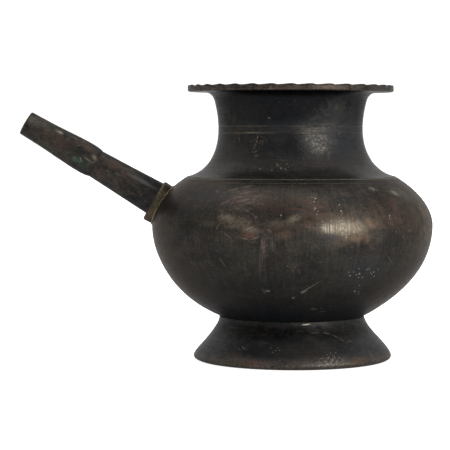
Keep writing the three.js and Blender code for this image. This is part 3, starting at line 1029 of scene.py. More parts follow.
def lay_left_scuff(finish, scuff, left_strokes, chatter):
    """The rubbed and crossed place on the belly's left, on top of the tones."""
    lay, spot, between, grain = finish.lay, finish.spot, finish.between, finish.fine
    broken = between(grain, 0.36, 0.52)
    net = hairlines(finish, 2.2, (2.2, 2.2, 1), (0.1, 0.2, 0.3), 0.05)
    net = net + hairlines(finish, 2.8, (1, 1, 2.4), (0.5, 0.4, 1.3), 0.04)
    lay(scuff * between(left_strokes, 0.42, 0.56) * 0.90, OCHRE)
    lay(spot(-117.5, 75.4, (8, 3.4), 12, depth=7, ragged=0.5, fine=True) * 0.60, OCHRE)
    lay(spot(-110, 73.0, (22, 10), 5, depth=16) * net * 0.85, BRONZE_WEAR_AND_HIGHLIGHT)
    lay(scuff * between(grain, 0.52, 0.64) * 0.55, BRONZE_WEAR_AND_HIGHLIGHT)
    lay(spot(-108.6, 70.6, (9.5, 2.8), 12, depth=7, ragged=0.7, fine=True) * broken, BRONZE_WEAR_AND_HIGHLIGHT)
    lay(spot(-98.0, 73.2, (9.0, 2.8), depth=8, ragged=0.6, fine=True) * 0.75, OCHRE)
    lay(spot(-95.6, 67.8, (6.5, 3.6), depth=7, ragged=0.6, fine=True) * broken * 0.55, TAN)
    lay(spot(-102.9, 63.5, (2.4, 7.0), 4, depth=4, ragged=0.7, fine=True)
        * between(chatter, 0.38, 0.56) * 0.65, PINK_BROWN)
    lay(spot(-99.6, 64.0, (1.6, 6.0), -8, depth=4, ragged=0.7, fine=True) * 0.35, PINK_BROWN)
    lay(scuff * scoured(finish), BRONZE_WEAR_AND_HIGHLIGHT)
    lay(spot(-118.2, 75.6, (5.4, 2.3), 14, depth=6, edge=0.9, ragged=0.55, fine=True) * 0.80, BRONZE_WEAR_AND_HIGHLIGHT)
    lay(spot(-126.5, 72.4, (8.0, 2.6), depth=6, ragged=0.5, fine=True) * 0.45, OCHRE)
    lay(spot(-91.6, 75.2, (6.2, 3.6), -24, depth=6, ragged=0.7, fine=True)
        * between(grain, 0.36, 0.58) * 0.75, BRONZE_WEAR_AND_HIGHLIGHT)
    lay(spot(-90.8, 75.8, (4.8, 2.4), -24, depth=6, ragged=0.8, fine=True)
        * between(grain, 0.40, 0.56) * 0.80, PALE_GREEN)
    lay(spot(-96.5, 70.8, (5.5, 3.4), depth=6, ragged=0.5, fine=True)
        * between(grain, 0.42, 0.60) * 0.55, RUST_RED)
    lay(spot(-108.4, 67.4, (7.5, 2.8), depth=6, ragged=0.7, fine=True) * 0.45, TAN)
    lay(spot(-109.0, 67.6, (5.5, 1.8), depth=5, ragged=0.5, fine=True)
        * between(grain, 0.40, 0.56) * 0.80, RUST_RED)


def bowl_finish():
    finish = PotFinish("bowl_patina", sheen=WARM_SHEEN)
    lay, spot, between, cloud = finish.lay, finish.spot, finish.between, finish.cloud
    height = finish.axis("Z")
    grain = finish.fine = cloud(1.1, 5, roughness=0.7)
    wide = finish.wide = cloud(5.0, 5, roughness=0.65)
    chatter = upright_chatter(finish, 0.9, 20)
    lines = turning_lines(finish, 0.7)
    left_strokes = cloud(0.9, 4, (5.5, 5.5, 1), vector=finish.facing(-113, -14), roughness=0.65)
    right_strokes = cloud(0.8, 4, (3.5, 3.5, 1), vector=finish.facing(-70, 4), roughness=0.7)
    below = between(height, 66, 36)
    near_foot = between(height, 37, 27)
    under_shoulder = between(height, 82, 92)
    mauve = spot(-114, 83.0, (19, 9), -6, depth=18, ragged=0.35)
    middle_brown = spot(-86, 79, (18, 12), depth=16, ragged=0.35)
    # Painted highlight: a lighter warm halo round the key light's reflection on the belly
    painted_highlight_halo = spot(-69, 73, (21, 12), depth=16)
    right_brown = spot(-48, 78, (18, 17), depth=18, ragged=0.35)
    far_left = spot(-150, 78, (26, 30), depth=24, edge=0.9, ragged=0)
    far_right = spot(-22, 72, (20, 24), depth=20, ragged=0)
    warm = (mauve * 0.6 + middle_brown + painted_highlight_halo + right_brown) * 0.55
    warm = warm + 0.06 - under_shoulder * 0.1 - below * 0.25
    cold = below * 0.46 - near_foot * 0.30 + far_left * 0.15 + under_shoulder * 0.25
    cold = cold + 0.10 - (mauve + painted_highlight_halo) * 0.4
    tone, fine, grime = patina(finish, cold, warm, (mauve + painted_highlight_halo) * 0.35 + 0.42)
    mottle = cloud(3.2, 3)
    scuff = spot(-112.5, 73.2, (19, 4.6), 8, depth=14, ragged=0.35)
    # Painted highlight core: bright pale colour at the key light's reflection, over rubbed wear
    core = spot(-71.3, 71.2, (15.5, 5.2), 3, depth=11, edge=0.9, grain=right_strokes)
    blue_below = spot(-77, 66.6, (8, 3.4), depth=7, ragged=0.2)
    # Chatter, the lower half and the shoulder
    lay(between(chatter, 0.50, 0.70) * 0.30, WARM_BROWN)
    lay(between(chatter, 0.46, 0.32) * 0.35, SOOT)
    lay(below * between(mottle, 0.48, 0.62) * 0.35, BLUE_BLACK)
    lay(below * between(mottle, 0.46, 0.34) * 0.45, OLIVE_BROWN)
    lay((below - near_foot) * 0.55, SOOT)
    lay(near_foot * between(mottle, 0.30, 0.50) * 0.95, GREY_BLUE)
    lay(spot(-122, 58, (24, 12), depth=18) * 0.28, SOOT)
    lay(spot(-152, 47, (26, 15), depth=22) * 0.50, SOOT)
    lay(spot(-112, 42, (22, 7), depth=16, ragged=0.4) * 0.45, BLUE_BLACK)
    lay(spot(-48, 45, (16, 9), depth=14, ragged=0.4) * 0.30, SOOT)
    lay(spot(-132, 86, (26, 10), depth=20) * 0.45, GREY_BLUE)
    lay(spot(-60, 50, (22, 12), depth=16) * 0.45, GREY_BLUE)
    lay(spot(-109, 73.0, (25, 9), 5, depth=18, ragged=0.4) * 0.42, MAUVE_BROWN)
    # Mauve on the left, red-brown in the middle and on the right
    lay(mauve * 0.15, MAUVE_BROWN)
    lay(mauve * between(wide, 0.50, 0.62) * 0.55, RED_BROWN)
    lay(mauve * between(left_strokes, 0.50, 0.60) * between(grain, 0.40, 0.54) * 0.70, PINK_BROWN)
    lay((middle_brown + right_brown) * between(mottle, 0.42, 0.58) * 0.65, DEEP_RED)
    lay(spot(-99, 81, (13, 8), depth=10, ragged=0.4)
        * between(grain, 0.38, 0.56) * 0.85, DEEP_RED)
    lay(spot(-97, 82, (12, 8), depth=10, ragged=0.4) * 0.25, SOOT)
    lay(spot(-35, 74, (13, 13), depth=12, ragged=0.5)
        * between(grain, 0.42, 0.58) * 0.65, RED_BROWN)
    lay(spot(-33, 86.5, (13, 6), 20, depth=10) * 0.45, PEWTER)
    # The highlight on the right, over a rubbed place: a painted halo and a painted bright core where the
    # key light reflects
    lay(painted_highlight_halo * 0.60, OCHRE)
    lay(painted_highlight_halo * between(right_strokes, 0.36, 0.58) * 0.60, WARM_BROWN)
    lay(painted_highlight_halo * between(wide, 0.50, 0.60) * 0.40, RED_BROWN)
    lay(far_right * between(wide, 0.36, 0.58) * 0.60, OCHRE)
    lay(blue_below * 0.65, GREY_BLUE)
    lay(painted_highlight_halo * between(chatter, 0.54, 0.66) * 0.35, OCHRE)
    lay(core * 0.65, OCHRE)
    # Painted highlight: the hottest spot of the reflection, in pale colour broken by chatter
    lay(spot(-78.0, 71.0, (4.6, 3.0), depth=5, ragged=0.5, fine=True)
        * between(chatter, 0.34, 0.52) * 0.65, CHALK)
    lay(core * between(right_strokes, 0.38, 0.58) * 0.45, BRONZE_WEAR_AND_HIGHLIGHT)
    lay(core * between(grain, 0.46, 0.60) * between(chatter, 0.38, 0.58) * 0.65, CHALK)
    lay(spot(-60.4, 73.2, (2.4, 5.6), -38, depth=6, ragged=0.4, fine=True) * 0.60, TAN)
    lay(spot(-64.6, 76.4, (2.2, 5.0), -30, depth=6) * 0.60, GREY_BLUE)
    lay(spot(-65.5, 66.0, (12, 3.0), ragged=0.4) * 0.40, TAN)
    lay(spot(-50.0, 64.5, (8.5, 6.5), ragged=0.4) * 0.55, SOOT)
    lay_left_scuff(finish, scuff, left_strokes, chatter)
    # Single marks, scratches, chips, and the shoulder's edge: wear with a painted highlight
    lay(spot(-91.3, 36.6, (1.2, 0.8), edge=0.9, ragged=0.2, fine=True) * 0.7, PALE_GREEN)
    lay(spot(-38.5, 86.6, (4.2, 1.8), 14, ragged=0.6, fine=True) * 0.75, PALE_GREEN)
    lay(spot(-51.2, 89.0, (3.6, 1.4), 10, ragged=0.6, fine=True) * 0.50, PALE_GREEN)
    finish.scratches(BOWL_SCRATCHES)
    lay(spot(-103.1, 40.1, (1.5, 0.9), 10, edge=0.9, ragged=0.7, fine=True) * 0.55, PALE_GREEN)
    lay(spot(-82.9, 80.3, (0.9, 1.5), 15, edge=0.9, ragged=0.7, fine=True) * 0.50, BRONZE_WEAR_AND_HIGHLIGHT)
    lay(specks(finish, 1.1, 0.58) * 0.55, CHALK)
    finish.chips(BOWL_CHIPS)
    # The shoulder's edge drawn as a thin pale line: wear, and a painted highlight on the step's edge
    edge_wear_and_painted_highlight = between(height, bowl_corner.z - 0.34, bowl_corner.z - 0.06)
    in_groove = between(finish.off(height, bowl_corner.z - SHOULDER_RING_DROP), 0.45, 0.1)
    lay(edge_wear_and_painted_highlight * between(cloud(14, 3), 0.25, 0.50) * 0.95, PALE_GREEN)
    lay(in_groove * between(cloud(8, 3), 0.42, 0.60) * 0.15, OCHRE)
    rough = 0.33 + tone * 0.16 + grime * 0.08 + scuff * 0.10 + between(fine, 0.4, 0.7) * 0.06
    height_map = chatter * 0.9 + lines * 0.2 + fine * 0.5 + grime * 0.15
    return finish.finished(rough, height_map, 0.10)


BOWL_SCRATCHES = [
    ((-123.1, 69.0), (-121.0, 73.4), 0.8, 0.95, BRONZE_WEAR_AND_HIGHLIGHT),
    ((-119.5, 70.6), (-117.2, 72.4), 0.6, 0.45, BRONZE_WEAR_AND_HIGHLIGHT),
    ((-117.4, 79.9), (-112.2, 79.9), 0.8, 0.55, PINK_BROWN),
    ((-112.4, 79.9), (-108.8, 78.4), 0.8, 0.60, PINK_BROWN),
    ((-109.0, 78.5), (-105.8, 75.9), 0.8, 0.55, PINK_BROWN),
    ((-124.0, 87.5), (-116.0, 90.0), 1.0, 0.60, TAN),
    ((-117.0, 89.8), (-110.4, 90.7), 1.2, 0.70, PINK_BROWN),
    ((-116.4, 86.6), (-108.8, 88.6), 1.3, 0.65, PINK_BROWN),
    ((-116.2, 82.7), (-109.0, 84.9), 1.3, 0.60, PINK_BROWN),
    ((-124.2, 82.2), (-118.6, 83.4), 1.1, 0.50, PINK_BROWN),
    ((-112.4, 85.0), (-104.0, 86.4), 1.0, 0.45, PINK_BROWN),
    ((-120.8, 69.9), (-115.2, 65.3), 0.7, 0.55, BRONZE_WEAR_AND_HIGHLIGHT),
    ((-112.6, 66.3), (-108.2, 65.2), 0.8, 0.80, BRONZE_WEAR_AND_HIGHLIGHT),
    ((-108.4, 65.1), (-103.9, 67.2), 0.8, 0.85, BRONZE_WEAR_AND_HIGHLIGHT),
    ((-107.0, 75.6), (-104.2, 71.8), 0.7, 0.40, BRONZE_WEAR_AND_HIGHLIGHT),
    ((-95.5, 80.2), (-86.0, 80.0), 1.4, 0.60, RUST_RED),
    ((-103.4, 67.0), (-106.4, 41.5), 2.0, 0.45, MAUVE_BROWN),
    ((-102.6, 66.0), (-104.4, 50.0), 0.9, 0.45, PINK_BROWN),
    ((-106.2, 42.5), (-104.0, 38.0), 2.0, 0.35, OCHRE),
    ((-122.6, 57.0), (-119.8, 50.8), 0.9, 0.45, OCHRE),
    ((-78.6, 45.9), (-88.4, 38.9), 0.7, 0.60, PALE_GREEN),
    ((-84.6, 41.1), (-88.4, 38.8), 1.5, 0.90, PALE_GREEN),
    ((-86.4, 85.4), (-80.4, 85.6), 0.7, 0.40, BRONZE_WEAR_AND_HIGHLIGHT),
    ((-161.0, 75.6), (-159.0, 71.6), 2.2, 0.70, PEWTER),
    ((-130.0, 88.6), (-126.0, 86.8), 1.4, 0.45, PEWTER),
    ((-113.0, 71.2), (-110.0, 75.4), 0.6, 0.50, BRONZE_WEAR_AND_HIGHLIGHT),
    ((-111.0, 69.4), (-106.0, 72.2), 0.7, 0.60, CHALK),
    ((-105.6, 72.6), (-100.4, 73.8), 0.7, 0.55, OCHRE),
    ((-83.0, 30.6), (-76.4, 30.2), 1.3, 0.60, PALE_GREEN),
    ((-77.0, 28.6), (-71.0, 29.0), 1.0, 0.55, PALE_GREEN),
    ((-94.0, 32.4), (-90.5, 31.0), 1.0, 0.50, PEWTER),
    ((-108.0, 50.4), (-100.0, 51.0), 0.8, 0.35, MAUVE_BROWN),
    ((-92.0, 52.6), (-91.0, 48.4), 0.8, 0.40, OCHRE),
    ((-89.6, 52.4), (-88.8, 48.6), 0.8, 0.40, OCHRE),
    ((-52.0, 58.0), (-46.0, 52.6), 1.0, 0.40, PEWTER),
]
# Chips as (bearing, height, radius)
BOWL_CHIPS = [
    (-82.1, 84.9, 0.55), (-82.7, 83.5, 0.45), (-82.6, 80.4, 0.45), (-81.6, 79.0, 0.40), (-82.2, 77.6, 0.45),
    (-72.3, 81.9, 0.50), (-72.1, 79.0, 0.55), (-71.9, 77.9, 0.35), (-49.8, 76.1, 0.60), (-50.2, 74.9, 0.40),
    (-66.8, 47.6, 0.50), (-65.6, 49.4, 0.35), (-62.5, 48.4, 0.60), (-62.3, 46.5, 0.40), (-63.8, 47.9, 0.40),
    (-56.1, 47.9, 0.45), (-55.4, 48.9, 0.45), (-57.0, 48.8, 0.35), (-59.4, 50.4, 0.45), (-63.4, 51.0, 0.35),
    (-67.8, 49.4, 0.35), (-60.4, 46.4, 0.40), (-58.4, 50.6, 0.40), (-54.2, 46.8, 0.40), (-53.4, 50.2, 0.35),
    (-60.2, 42.4, 0.35), (-80.6, 31.6, 0.35), (-75.4, 30.6, 0.40), (-70.6, 31.8, 0.35), (-68.8, 29.6, 0.35),
    (-61.1, 39.3, 0.65), (-58.6, 38.9, 0.35), (-57.8, 37.9, 0.35), (-96.3, 77.1, 0.55), (-70.9, 66.6, 0.40),
]


def foot_finish():
    finish = PotFinish("foot_patina")
    lay, spot, between, cloud = finish.lay, finish.spot, finish.between, finish.cloud
    height = finish.axis("Z")
    grain = finish.fine = cloud(1.0, 5, roughness=0.7)
    wide = finish.wide = cloud(3.5, 5, roughness=0.65)
    lines = turning_lines(finish, 0.6)
    toe = between(height, 8.0, 0.5)
    upper_foot = between(height, 12.5, 17.5)
    top_edge = between(height, FOOT_HEIGHT - 0.6, FOOT_HEIGHT - 0.15)
    tone, fine, grime = patina(finish, 0.16 - toe * 0.44, toe * 0.30 + 0.08, 0.7)
    worn = spot(-69.0, 4.2, (10, 5.5), depth=8, ragged=0.35)
    lay(0.50 + between(wide, 0.45, 0.65) * 0.3, GREY_BLUE)
    lay(between(wide, 0.40, 0.62) * 0.16, PEWTER)
    lay(between(cloud(4.0, 4, (1.8, 1.8, 0.9), roughness=0.65), 0.50, 0.66)
        * (0.32 - toe * 0.3), BLUE_BLACK)
    lay(upper_foot * 0.60, COAL)
    lay(spot(-112, 17, (30, 6), depth=20) * 0.45, COAL)
    lay(spot(-95, 10.4, (18, 5.5), depth=12) * 0.34, PEWTER)
    lay(upper_foot * between(wide, 0.46, 0.62) * 0.45, OLIVE_BROWN)
    lay(between(cloud(0.9, 4, (7, 7, 1)), 0.54, 0.66) * 0.35, MAUVE_BROWN)
    lay(between(lines, 0.52, 0.72) * 0.40, OLIVE_BROWN)
    lay(between(lines, 0.46, 0.32) * 0.40, SOOT)
    lay(toe * between(wide, 0.36, 0.60) * 0.70, MAUVE_BROWN)
    lay(toe * between(grain, 0.42, 0.60) * 0.75, OCHRE)
    lay(spot(-112, 2.5, (13, 3.4), ragged=0.5)
        * between(grain, 0.38, 0.54) * 0.80, PINK_BROWN)
    lay(spot(-112, 12.6, (5.5, 2.2), ragged=0.4) * 0.45, PEWTER)
    lay(spot(-72, 11.0, (9, 4.5), ragged=0.4) * 0.35, PEWTER)
    lay(spot(-72, 2.5, (17, 3.6), ragged=0.5)
        * between(grain, 0.40, 0.56) * 0.70, PEWTER)
    lay(spot(-84, 6.5, (10, 6)) * 0.35, MAUVE_BROWN)
    lay(top_edge * between(cloud(9, 3), 0.42, 0.6) * 0.2, OCHRE)
    # A worn place on the toe, made paler also as a painted highlight where the key light falls
    lay(worn * between(grain, 0.42, 0.60) * 0.35, BRONZE_WEAR_AND_HIGHLIGHT)
    lay(worn * between(cloud(0.7, 2), 0.60, 0.68) * 0.9, CHALK)
    lay(spot(-117.0, 3.4, (8.0, 2.2), ragged=0.5, fine=True) * 0.65, RUST_RED)
    lay(spot(-128.0, 6.6, (5.0, 2.0), ragged=0.5, fine=True) * 0.45, RED_BROWN)
    lay(spot(-51.0, 4.0, (8.0, 2.2), ragged=0.5, fine=True) * 0.45, RUST_RED)
    finish.scratches(FOOT_SCRATCHES)
    finish.chips(FOOT_CHIPS)
    lay(spot(-79.0, 14.8, (6.0, 2.4)) * 0.30, OCHRE)
    lay(specks(finish, 1.1, 0.58) * 0.55, CHALK)
    rough = 0.38 + tone * 0.12 + grime * 0.12 + worn * 0.08 - between(lines, 0.4, 0.7) * 0.05
    height_map = lines * 0.6 + fine * 0.5 + grime * 0.25
    return finish.finished(rough, height_map, 0.10)


FOOT_SCRATCHES = [
    ((-80.5, 17.4), (-70.0, 17.6), 0.9, 0.26, CHALK),
    ((-70.5, 17.6), (-62.0, 16.6), 0.9, 0.34, CHALK),
    ((-62.4, 16.6), (-58.0, 14.6), 0.9, 0.36, CHALK),
    ((-58.4, 14.8), (-53.6, 12.8), 0.8, 0.34, CHALK),
    ((-54.0, 12.9), (-46.0, 12.7), 0.8, 0.28, CHALK),
    ((-86.0, 21.3), (-76.0, 21.8), 1.0, 0.90, CHALK),
    ((-112.5, 12.8), (-105.5, 12.2), 0.9, 0.50, OCHRE),
    ((-108.0, 11.6), (-102.5, 11.8), 0.7, 0.40, OCHRE),
    ((-92.0, 6.0), (-88.0, 3.4), 1.0, 0.40, OCHRE),
]
FOOT_CHIPS = [
    (-125.1, 10.4, 0.5), (-123.4, 9.6, 0.45), (-126.8, 9.4, 0.35), (-121.2, 9.2, 0.35),
    (-105.4, 10.6, 0.35), (-103.6, 8.7, 0.45), (-101.9, 9.5, 0.40), (-99.6, 9.7, 0.45),
    (-101.0, 10.8, 0.35),
    (-68.2, 8.2, 0.40), (-66.5, 6.3, 0.45), (-70.4, 6.2, 0.50), (-68.4, 5.0, 0.45), (-64.6, 8.3, 0.35),
    (-72.6, 4.4, 0.40), (-70.8, 7.6, 0.35), (-66.0, 4.2, 0.40), (-74.4, 6.0, 0.35),
]


def rim_finish():
    finish = PotFinish("rim_patina")
    lay, spot, between, cloud = finish.lay, finish.spot, finish.between, finish.cloud
    height = finish.axis("Z")
    crest = between(height, rim_top - 0.7, rim_top + 0.15)
    tone, fine, grime = patina(finish, 0.0, 0.45)
    grain = finish.fine = cloud(1.6, 4)
    lay(between(grain, 0.40, 0.62) * 0.45, WARM_BROWN)
    lay(between(cloud(3.5, 4), 0.52, 0.66) * 0.16, BRONZE_WEAR_AND_HIGHLIGHT)
    lay(between(cloud(2.4, 4), 0.47, 0.36) * 0.60, SOOT)
    lay(crest * 0.55, SOOT)
    # Painted highlight: a lighter stretch of the rope edge's face where the key light falls
    lay(spot(-73.0, 138.4, (11, 1.6), depth=8, edge=0.9, fine=True) * 0.15, BRONZE_WEAR_AND_HIGHLIGHT)
    lay(specks(finish, 1.2, 0.60) * 0.4, CHALK)
    rough = 0.40 + tone * 0.12 + grime * 0.12
    return finish.finished(rough, fine * 0.4 + grime * 0.3 + grain * 0.3, 0.12)


def tube_finish(name, marks_of, cold):
    """A drawn tube's finish; cold says where blue-black starts, where it is full, and its share."""
    finish = TubeFinish(name)
    lay, between, cloud = finish.lay, finish.between, finish.cloud
    axis = tuple(spout_turn @ Vector((0, 0, 1)))
    ways = {0: finish.place, 1: axis}
    along = finish.node("VectorMath", {"operation": "DOT_PRODUCT"}, ways, output="Value")
    lengthwise = finish.lengthwise()
    broad = cloud(11, 3)
    middle = finish.wide = cloud(3.4, 5, (0.8, 0.8, 1.8), vector=lengthwise, roughness=0.65)
    drawn = cloud(0.8, 4, (0.8, 0.8, 7), vector=lengthwise, roughness=0.65)
    grain = finish.fine = cloud(1.1, 5, roughness=0.7)
    tone = broad * 0.35 + middle * 0.45 + grain * 0.20
    finish.colour = SOOT
    lay(between(tone, 0.42, 0.58), OLIVE_BROWN)
    lay(between(middle, 0.50, 0.66) * 0.55, RED_BROWN)
    lay(between(drawn, 0.52, 0.68) * 0.35, WARM_BROWN)
    lay(between(drawn, 0.46, 0.34) * 0.40, SOOT)
    blotch = cloud(2.6, 5, vector=lengthwise, roughness=0.7)
    lay(between(blotch, 0.47, 0.38) * 0.55, BLUE_BLACK)
    lay(between(blotch, 0.54, 0.64) * 0.30, MAUVE_BROWN)
    none, full, share = cold
    lay(between(along, none, full) * share, BLUE_BLACK)
    marks_of(finish, along)
    lay(scoured(finish) * 0.35, OCHRE)
    lay(specks(finish, 1.1, 0.58) * 0.5, CHALK)
    grime = between(cloud(1.8, 5), 0.50, 0.72)
    rough = 0.44 + grime * 0.12 + grain * 0.08
    return finish.finished(rough, grain * 0.6 + grime * 0.4 + middle * 0.3 + drawn * 0.3, 0.12)


def root_tube_marks(finish, along):
    lay, spot, between, grain = finish.lay, finish.spot, finish.between, finish.fine
    lay(spot(30.1, 34, (9, 3), ragged=0.35) * 0.60, RED_BROWN)
    lay(spot(19.3, 26, (6.5, 2.6), ragged=0.5, fine=True)
        * between(grain, 0.36, 0.58) * 0.60, RUST_RED)
    lay(spot(33.8, -13, (5, 3), ragged=0.35) * 0.50, RED_BROWN)
    lay(spot(22, 50, (14, 1.4)) * 0.45, WARM_BROWN)
    lay(spot(9.0, 20, (8, 6), radius=8.6, ragged=0.2) * 0.45, BLUE_BLACK)
    # Painted sheen: a grey band along the root tube's upper side, with a painted dark reflection along its
    # top edge above it
    lay(spot(14.0, 34, (13, 1.9), radius=8.6) * 0.60, PEWTER)
    lay(spot(16.0, 60, (17, 2.6), radius=8.6) * 0.60, BLUE_BLACK)
    lay(spot(30.8, 1, (1.6, 0.5), edge=0.9, ragged=0.4, fine=True) * 0.4, PALE_GREEN)
    lay(spot(25.4, 9, (2.0, 0.5), edge=0.9, ragged=0.4, fine=True) * 0.35, PALE_GREEN)
    lay(spot(14.0, 5, (3.0, 0.5), 4, edge=0.9, fine=True) * 0.35, OCHRE)
    lay(between(along, 4.4, 3.0) * between(grain, 0.4, 0.6) * 0.5, DULL_BRASS)
    lay(between(along, 36.8, 37.7) * 0.3, SOOT)


def tip_tube_marks(finish, along):
    lay, spot, between, grain = finish.lay, finish.spot, finish.between, finish.fine
    green = spot(43.6, -24, (6.6, 4.4), depth=6, edge=0.9, ragged=0.35)
    bright_green = spot(45.6, -19, (3.6, 2.6), edge=0.9, fine=True)
    lay(spot(44, 42, (8, 3), ragged=0.35) * 0.60, RED_BROWN)
    lay(spot(59.2, 4, (8.5, 4), radius=7, ragged=0.35) * 0.60, RED_BROWN)
    lay(spot(66, 20, (9, 3), radius=7, ragged=0.35) * 0.30, WARM_BROWN)
    lay(spot(75.0, 28, (6.5, 4.6), radius=6.6)
        * between(grain, 0.36, 0.60) * 0.60, PEWTER)
    lay(green * between(grain, 0.32, 0.58) * 0.85, VERDIGRIS)
    lay(bright_green * between(grain, 0.50, 0.60) * 0.75, BRIGHT_VERDIGRIS)
    lay(spot(48.2, -22, (2.8, 2.2), edge=0.9, ragged=0.4, fine=True) * 0.70, BRIGHT_VERDIGRIS)
    lay(spot(45.4, -11, (2.4, 0.5), 40, edge=0.9, ragged=0.2, fine=True) * 0.65, PALE_GREEN)
    lay(spot(42.4, 1, (3.0, 0.5), 4, edge=0.9, fine=True) * 0.55, PALE_GREEN)
    lay(spot(39.5, 2, (1.8, 0.5), -30, edge=0.9, ragged=0.2, fine=True) * 0.6, OCHRE)
    lay(spot(61.4, 43, (2.4, 1.3), radius=7, ragged=0.5, fine=True)
        * between(grain, 0.38, 0.56) * 0.8, CHALK)
    lay(spot(63.0, 38, (2.6, 0.6), 20, radius=7, edge=0.9, ragged=0.4, fine=True) * 0.5, OCHRE)
    lay(spot(49.9, 31, (2.2, 0.9), -25, radius=7.4, ragged=0.5, fine=True)
        * between(grain, 0.42, 0.58) * 0.7, BRONZE_WEAR_AND_HIGHLIGHT)
    lay(spot(40.0, 22, (3.0, 1.6), 20, ragged=0.5, fine=True)
        * between(grain, 0.38, 0.56) * 0.8, BRONZE_WEAR_AND_HIGHLIGHT)
    lay(spot(70.1, 38, (2.6, 1.6), radius=6.6, ragged=0.4)
        * between(grain, 0.48, 0.60) * 0.8, OCHRE)
    lay(spot(77.4, 24, (2.6, 3.2), radius=6.4) * 0.40, OCHRE)
    lay(between(along, 78.5, 79.3) * 0.20, OCHRE)
    lay(between(finish.off(along, 39.0), 0.9, 0.2) * 0.25, SOOT)


def brassy(finish, base, worn, green):
    """Starts the finish of the collar or a brazed seam: yellow metal under brown and green grime."""
    lay, between, cloud = finish.lay, finish.between, finish.cloud
    grain, middle = cloud(1.0, 4), cloud(3.0, 4)
    finish.colour = base
    lay(between(middle, 0.46, 0.62) * 0.7, SOOT)
    lay(between(grain, 0.50, 0.68) * 0.6, worn)
    lay(between(cloud(2.0, 3), 0.54, 0.68) * green, VERDIGRIS)
    return grain, middle, 0.44 + grain * 0.14


def seam_finish(name, base, worn):
    finish = Finish(name, POT_AXIS)
    grain, middle, rough = brassy(finish, base, worn, 0.5)
    return finish.finished(rough, grain * 0.6 + middle * 0.4, 0.14)


def collar_finish():
    finish = TubeFinish("collar_patina")
    grain, middle, rough = brassy(finish, DULL_BRASS, OCHRE, 0.35)
    lay, between = finish.lay, finish.between
    height = finish.axis("Z")
    filed = finish.cloud(0.55, 3, (0.8, 0.8, 6), vector=finish.lengthwise())
    low = between(height, -2.0, -7.5)
    lay(between(filed, 0.50, 0.68) * 0.40, GOLDEN)
    lay(between(filed, 0.46, 0.34) * 0.35, SOOT)
    lay(between(middle, 0.50, 0.62) * 0.40, RED_BROWN)
    lay(low * 0.55, RED_BROWN)
    lay(low * between(grain, 0.52, 0.62) * 0.5, RUST_RED)
    lay(between(height, -8.0, -9.6) * 0.85, SOOT)
    return finish.finished(rough, grain * 0.5 + middle * 0.3 + filed * 0.5, 0.14)


# Pieces
BEAD_CREASE = 60
RIM_CREASE = 50
SPOUT_CREASE = 40


def turned_piece(name, profile, material, node):
    bm = spun(profile)
    handmade(bm)
    return piece(name, mesh_of(name, bm), material, node)


turned_piece("foot_ring_shell", foot_profile(), foot_finish(), "foot_ring")
turned_piece(
    "foot_seam", foot_braze_profile(), seam_finish("foot_seam_braze", SOOT, OLIVE_BROWN),
    "foot_braze")
turned_piece("neck_shell", neck_profile(), neck_finish(), "neck")
turned_piece(
    "shoulder_seam", shoulder_braze_profile(),
    seam_finish("shoulder_seam_braze", OLIVE_BROWN, PALE_GREEN), "shoulder_braze")


def bowl_mesh():
    bm = spun(bowl_profile())
    handmade(bm)
    hole = bmesh.new()
    radius = (ROOT_RADIUS + SPOUT_HOLE_GAP) * MM
    bmesh.ops.create_cone(
        hole, cap_ends=True, segments=TUBE_STEPS, radius1=radius, radius2=radius,
        depth=2 * COLLAR_RADIUS * MM,
    )
    on_spout(hole)
    return cut_away("bowl_shell", mesh_of("bowl_shell", bm), mesh_of("bowl_hole", hole))


piece("bowl_shell", bowl_mesh(), bowl_finish(), "bowl")

# The rope edge: where its lobes fade, as distances from the rim's edge and its two faces
SIDE_START, SIDE_FULL = 1.2, 0.2
OUTSIDE_START, OUTSIDE_RUN = 1.2, 0.9
TOP_START, TOP_RUN = 0.25, 0.2
LOBES_INNER, LOBES_RUN = 3.2, 1.8
LEAN_INNER = 2
FILL_OUTER, FILL_RUN = 0.7, 1.2


def lobe(turns):
    """The rope edge's height, 0 to 1: a rise to the crest and a slightly quicker fall after it."""
    phase = turns % 1
    return smooth(phase / LOBE_CREST if phase < LOBE_CREST else (1 - phase) / (1 - LOBE_CREST))


def rope_edge(bm):
    """Raises the ring's plain bead into leaning lobes, all round."""
    crest = RIM_CREST - rim_top
    side_run = rim_top - SIDE_FULL - flange_underside - SIDE_START
    for vert in bm.verts:
        radius, level = math.hypot(vert.co.x, vert.co.y) / MM, vert.co.z / MM
        angle = math.atan2(vert.co.y, vert.co.x)
        turns = LOBE_COUNT * (angle - math.radians(FIRST_LOBE_ANGLE)) / math.tau + LOBE_CREST
        side = smooth((level - flange_underside - SIDE_START) / side_run)
        outside = smooth((radius - (RIM_RADIUS - OUTSIDE_START)) / OUTSIDE_RUN)
        top = smooth((level - (rim_top - TOP_START)) / TOP_RUN)
        top *= smooth((radius - (RIM_RADIUS - LOBES_INNER)) / LOBES_RUN)
        lean = 1 - 2 * smooth((radius - (RIM_RADIUS - LEAN_INNER)) / LEAN_INNER)
        share = lobe(turns + LOBE_LEAN * lean)
        inward = LOBE_DEPTH * (1 - share) * side * outside
        filled = HOLLOW_FILL * smooth((RIM_RADIUS - FILL_OUTER - radius) / FILL_RUN)
        share += (1 - share) * filled
        flat = Vector((vert.co.x, vert.co.y, 0)).normalized()
        vert.co -= flat * inward * MM
        vert.co.z += crest * share * top * MM


def rim_mesh():
    bm = spun(rim_profile(), LOBE_COUNT * LOBE_STEPS)
    rope_edge(bm)
    handmade(bm)
    return mesh_of("rim_rope_ring", bm)


piece("rim_rope_ring", rim_mesh(), rim_finish(), "rim_ring", RIM_CREASE)


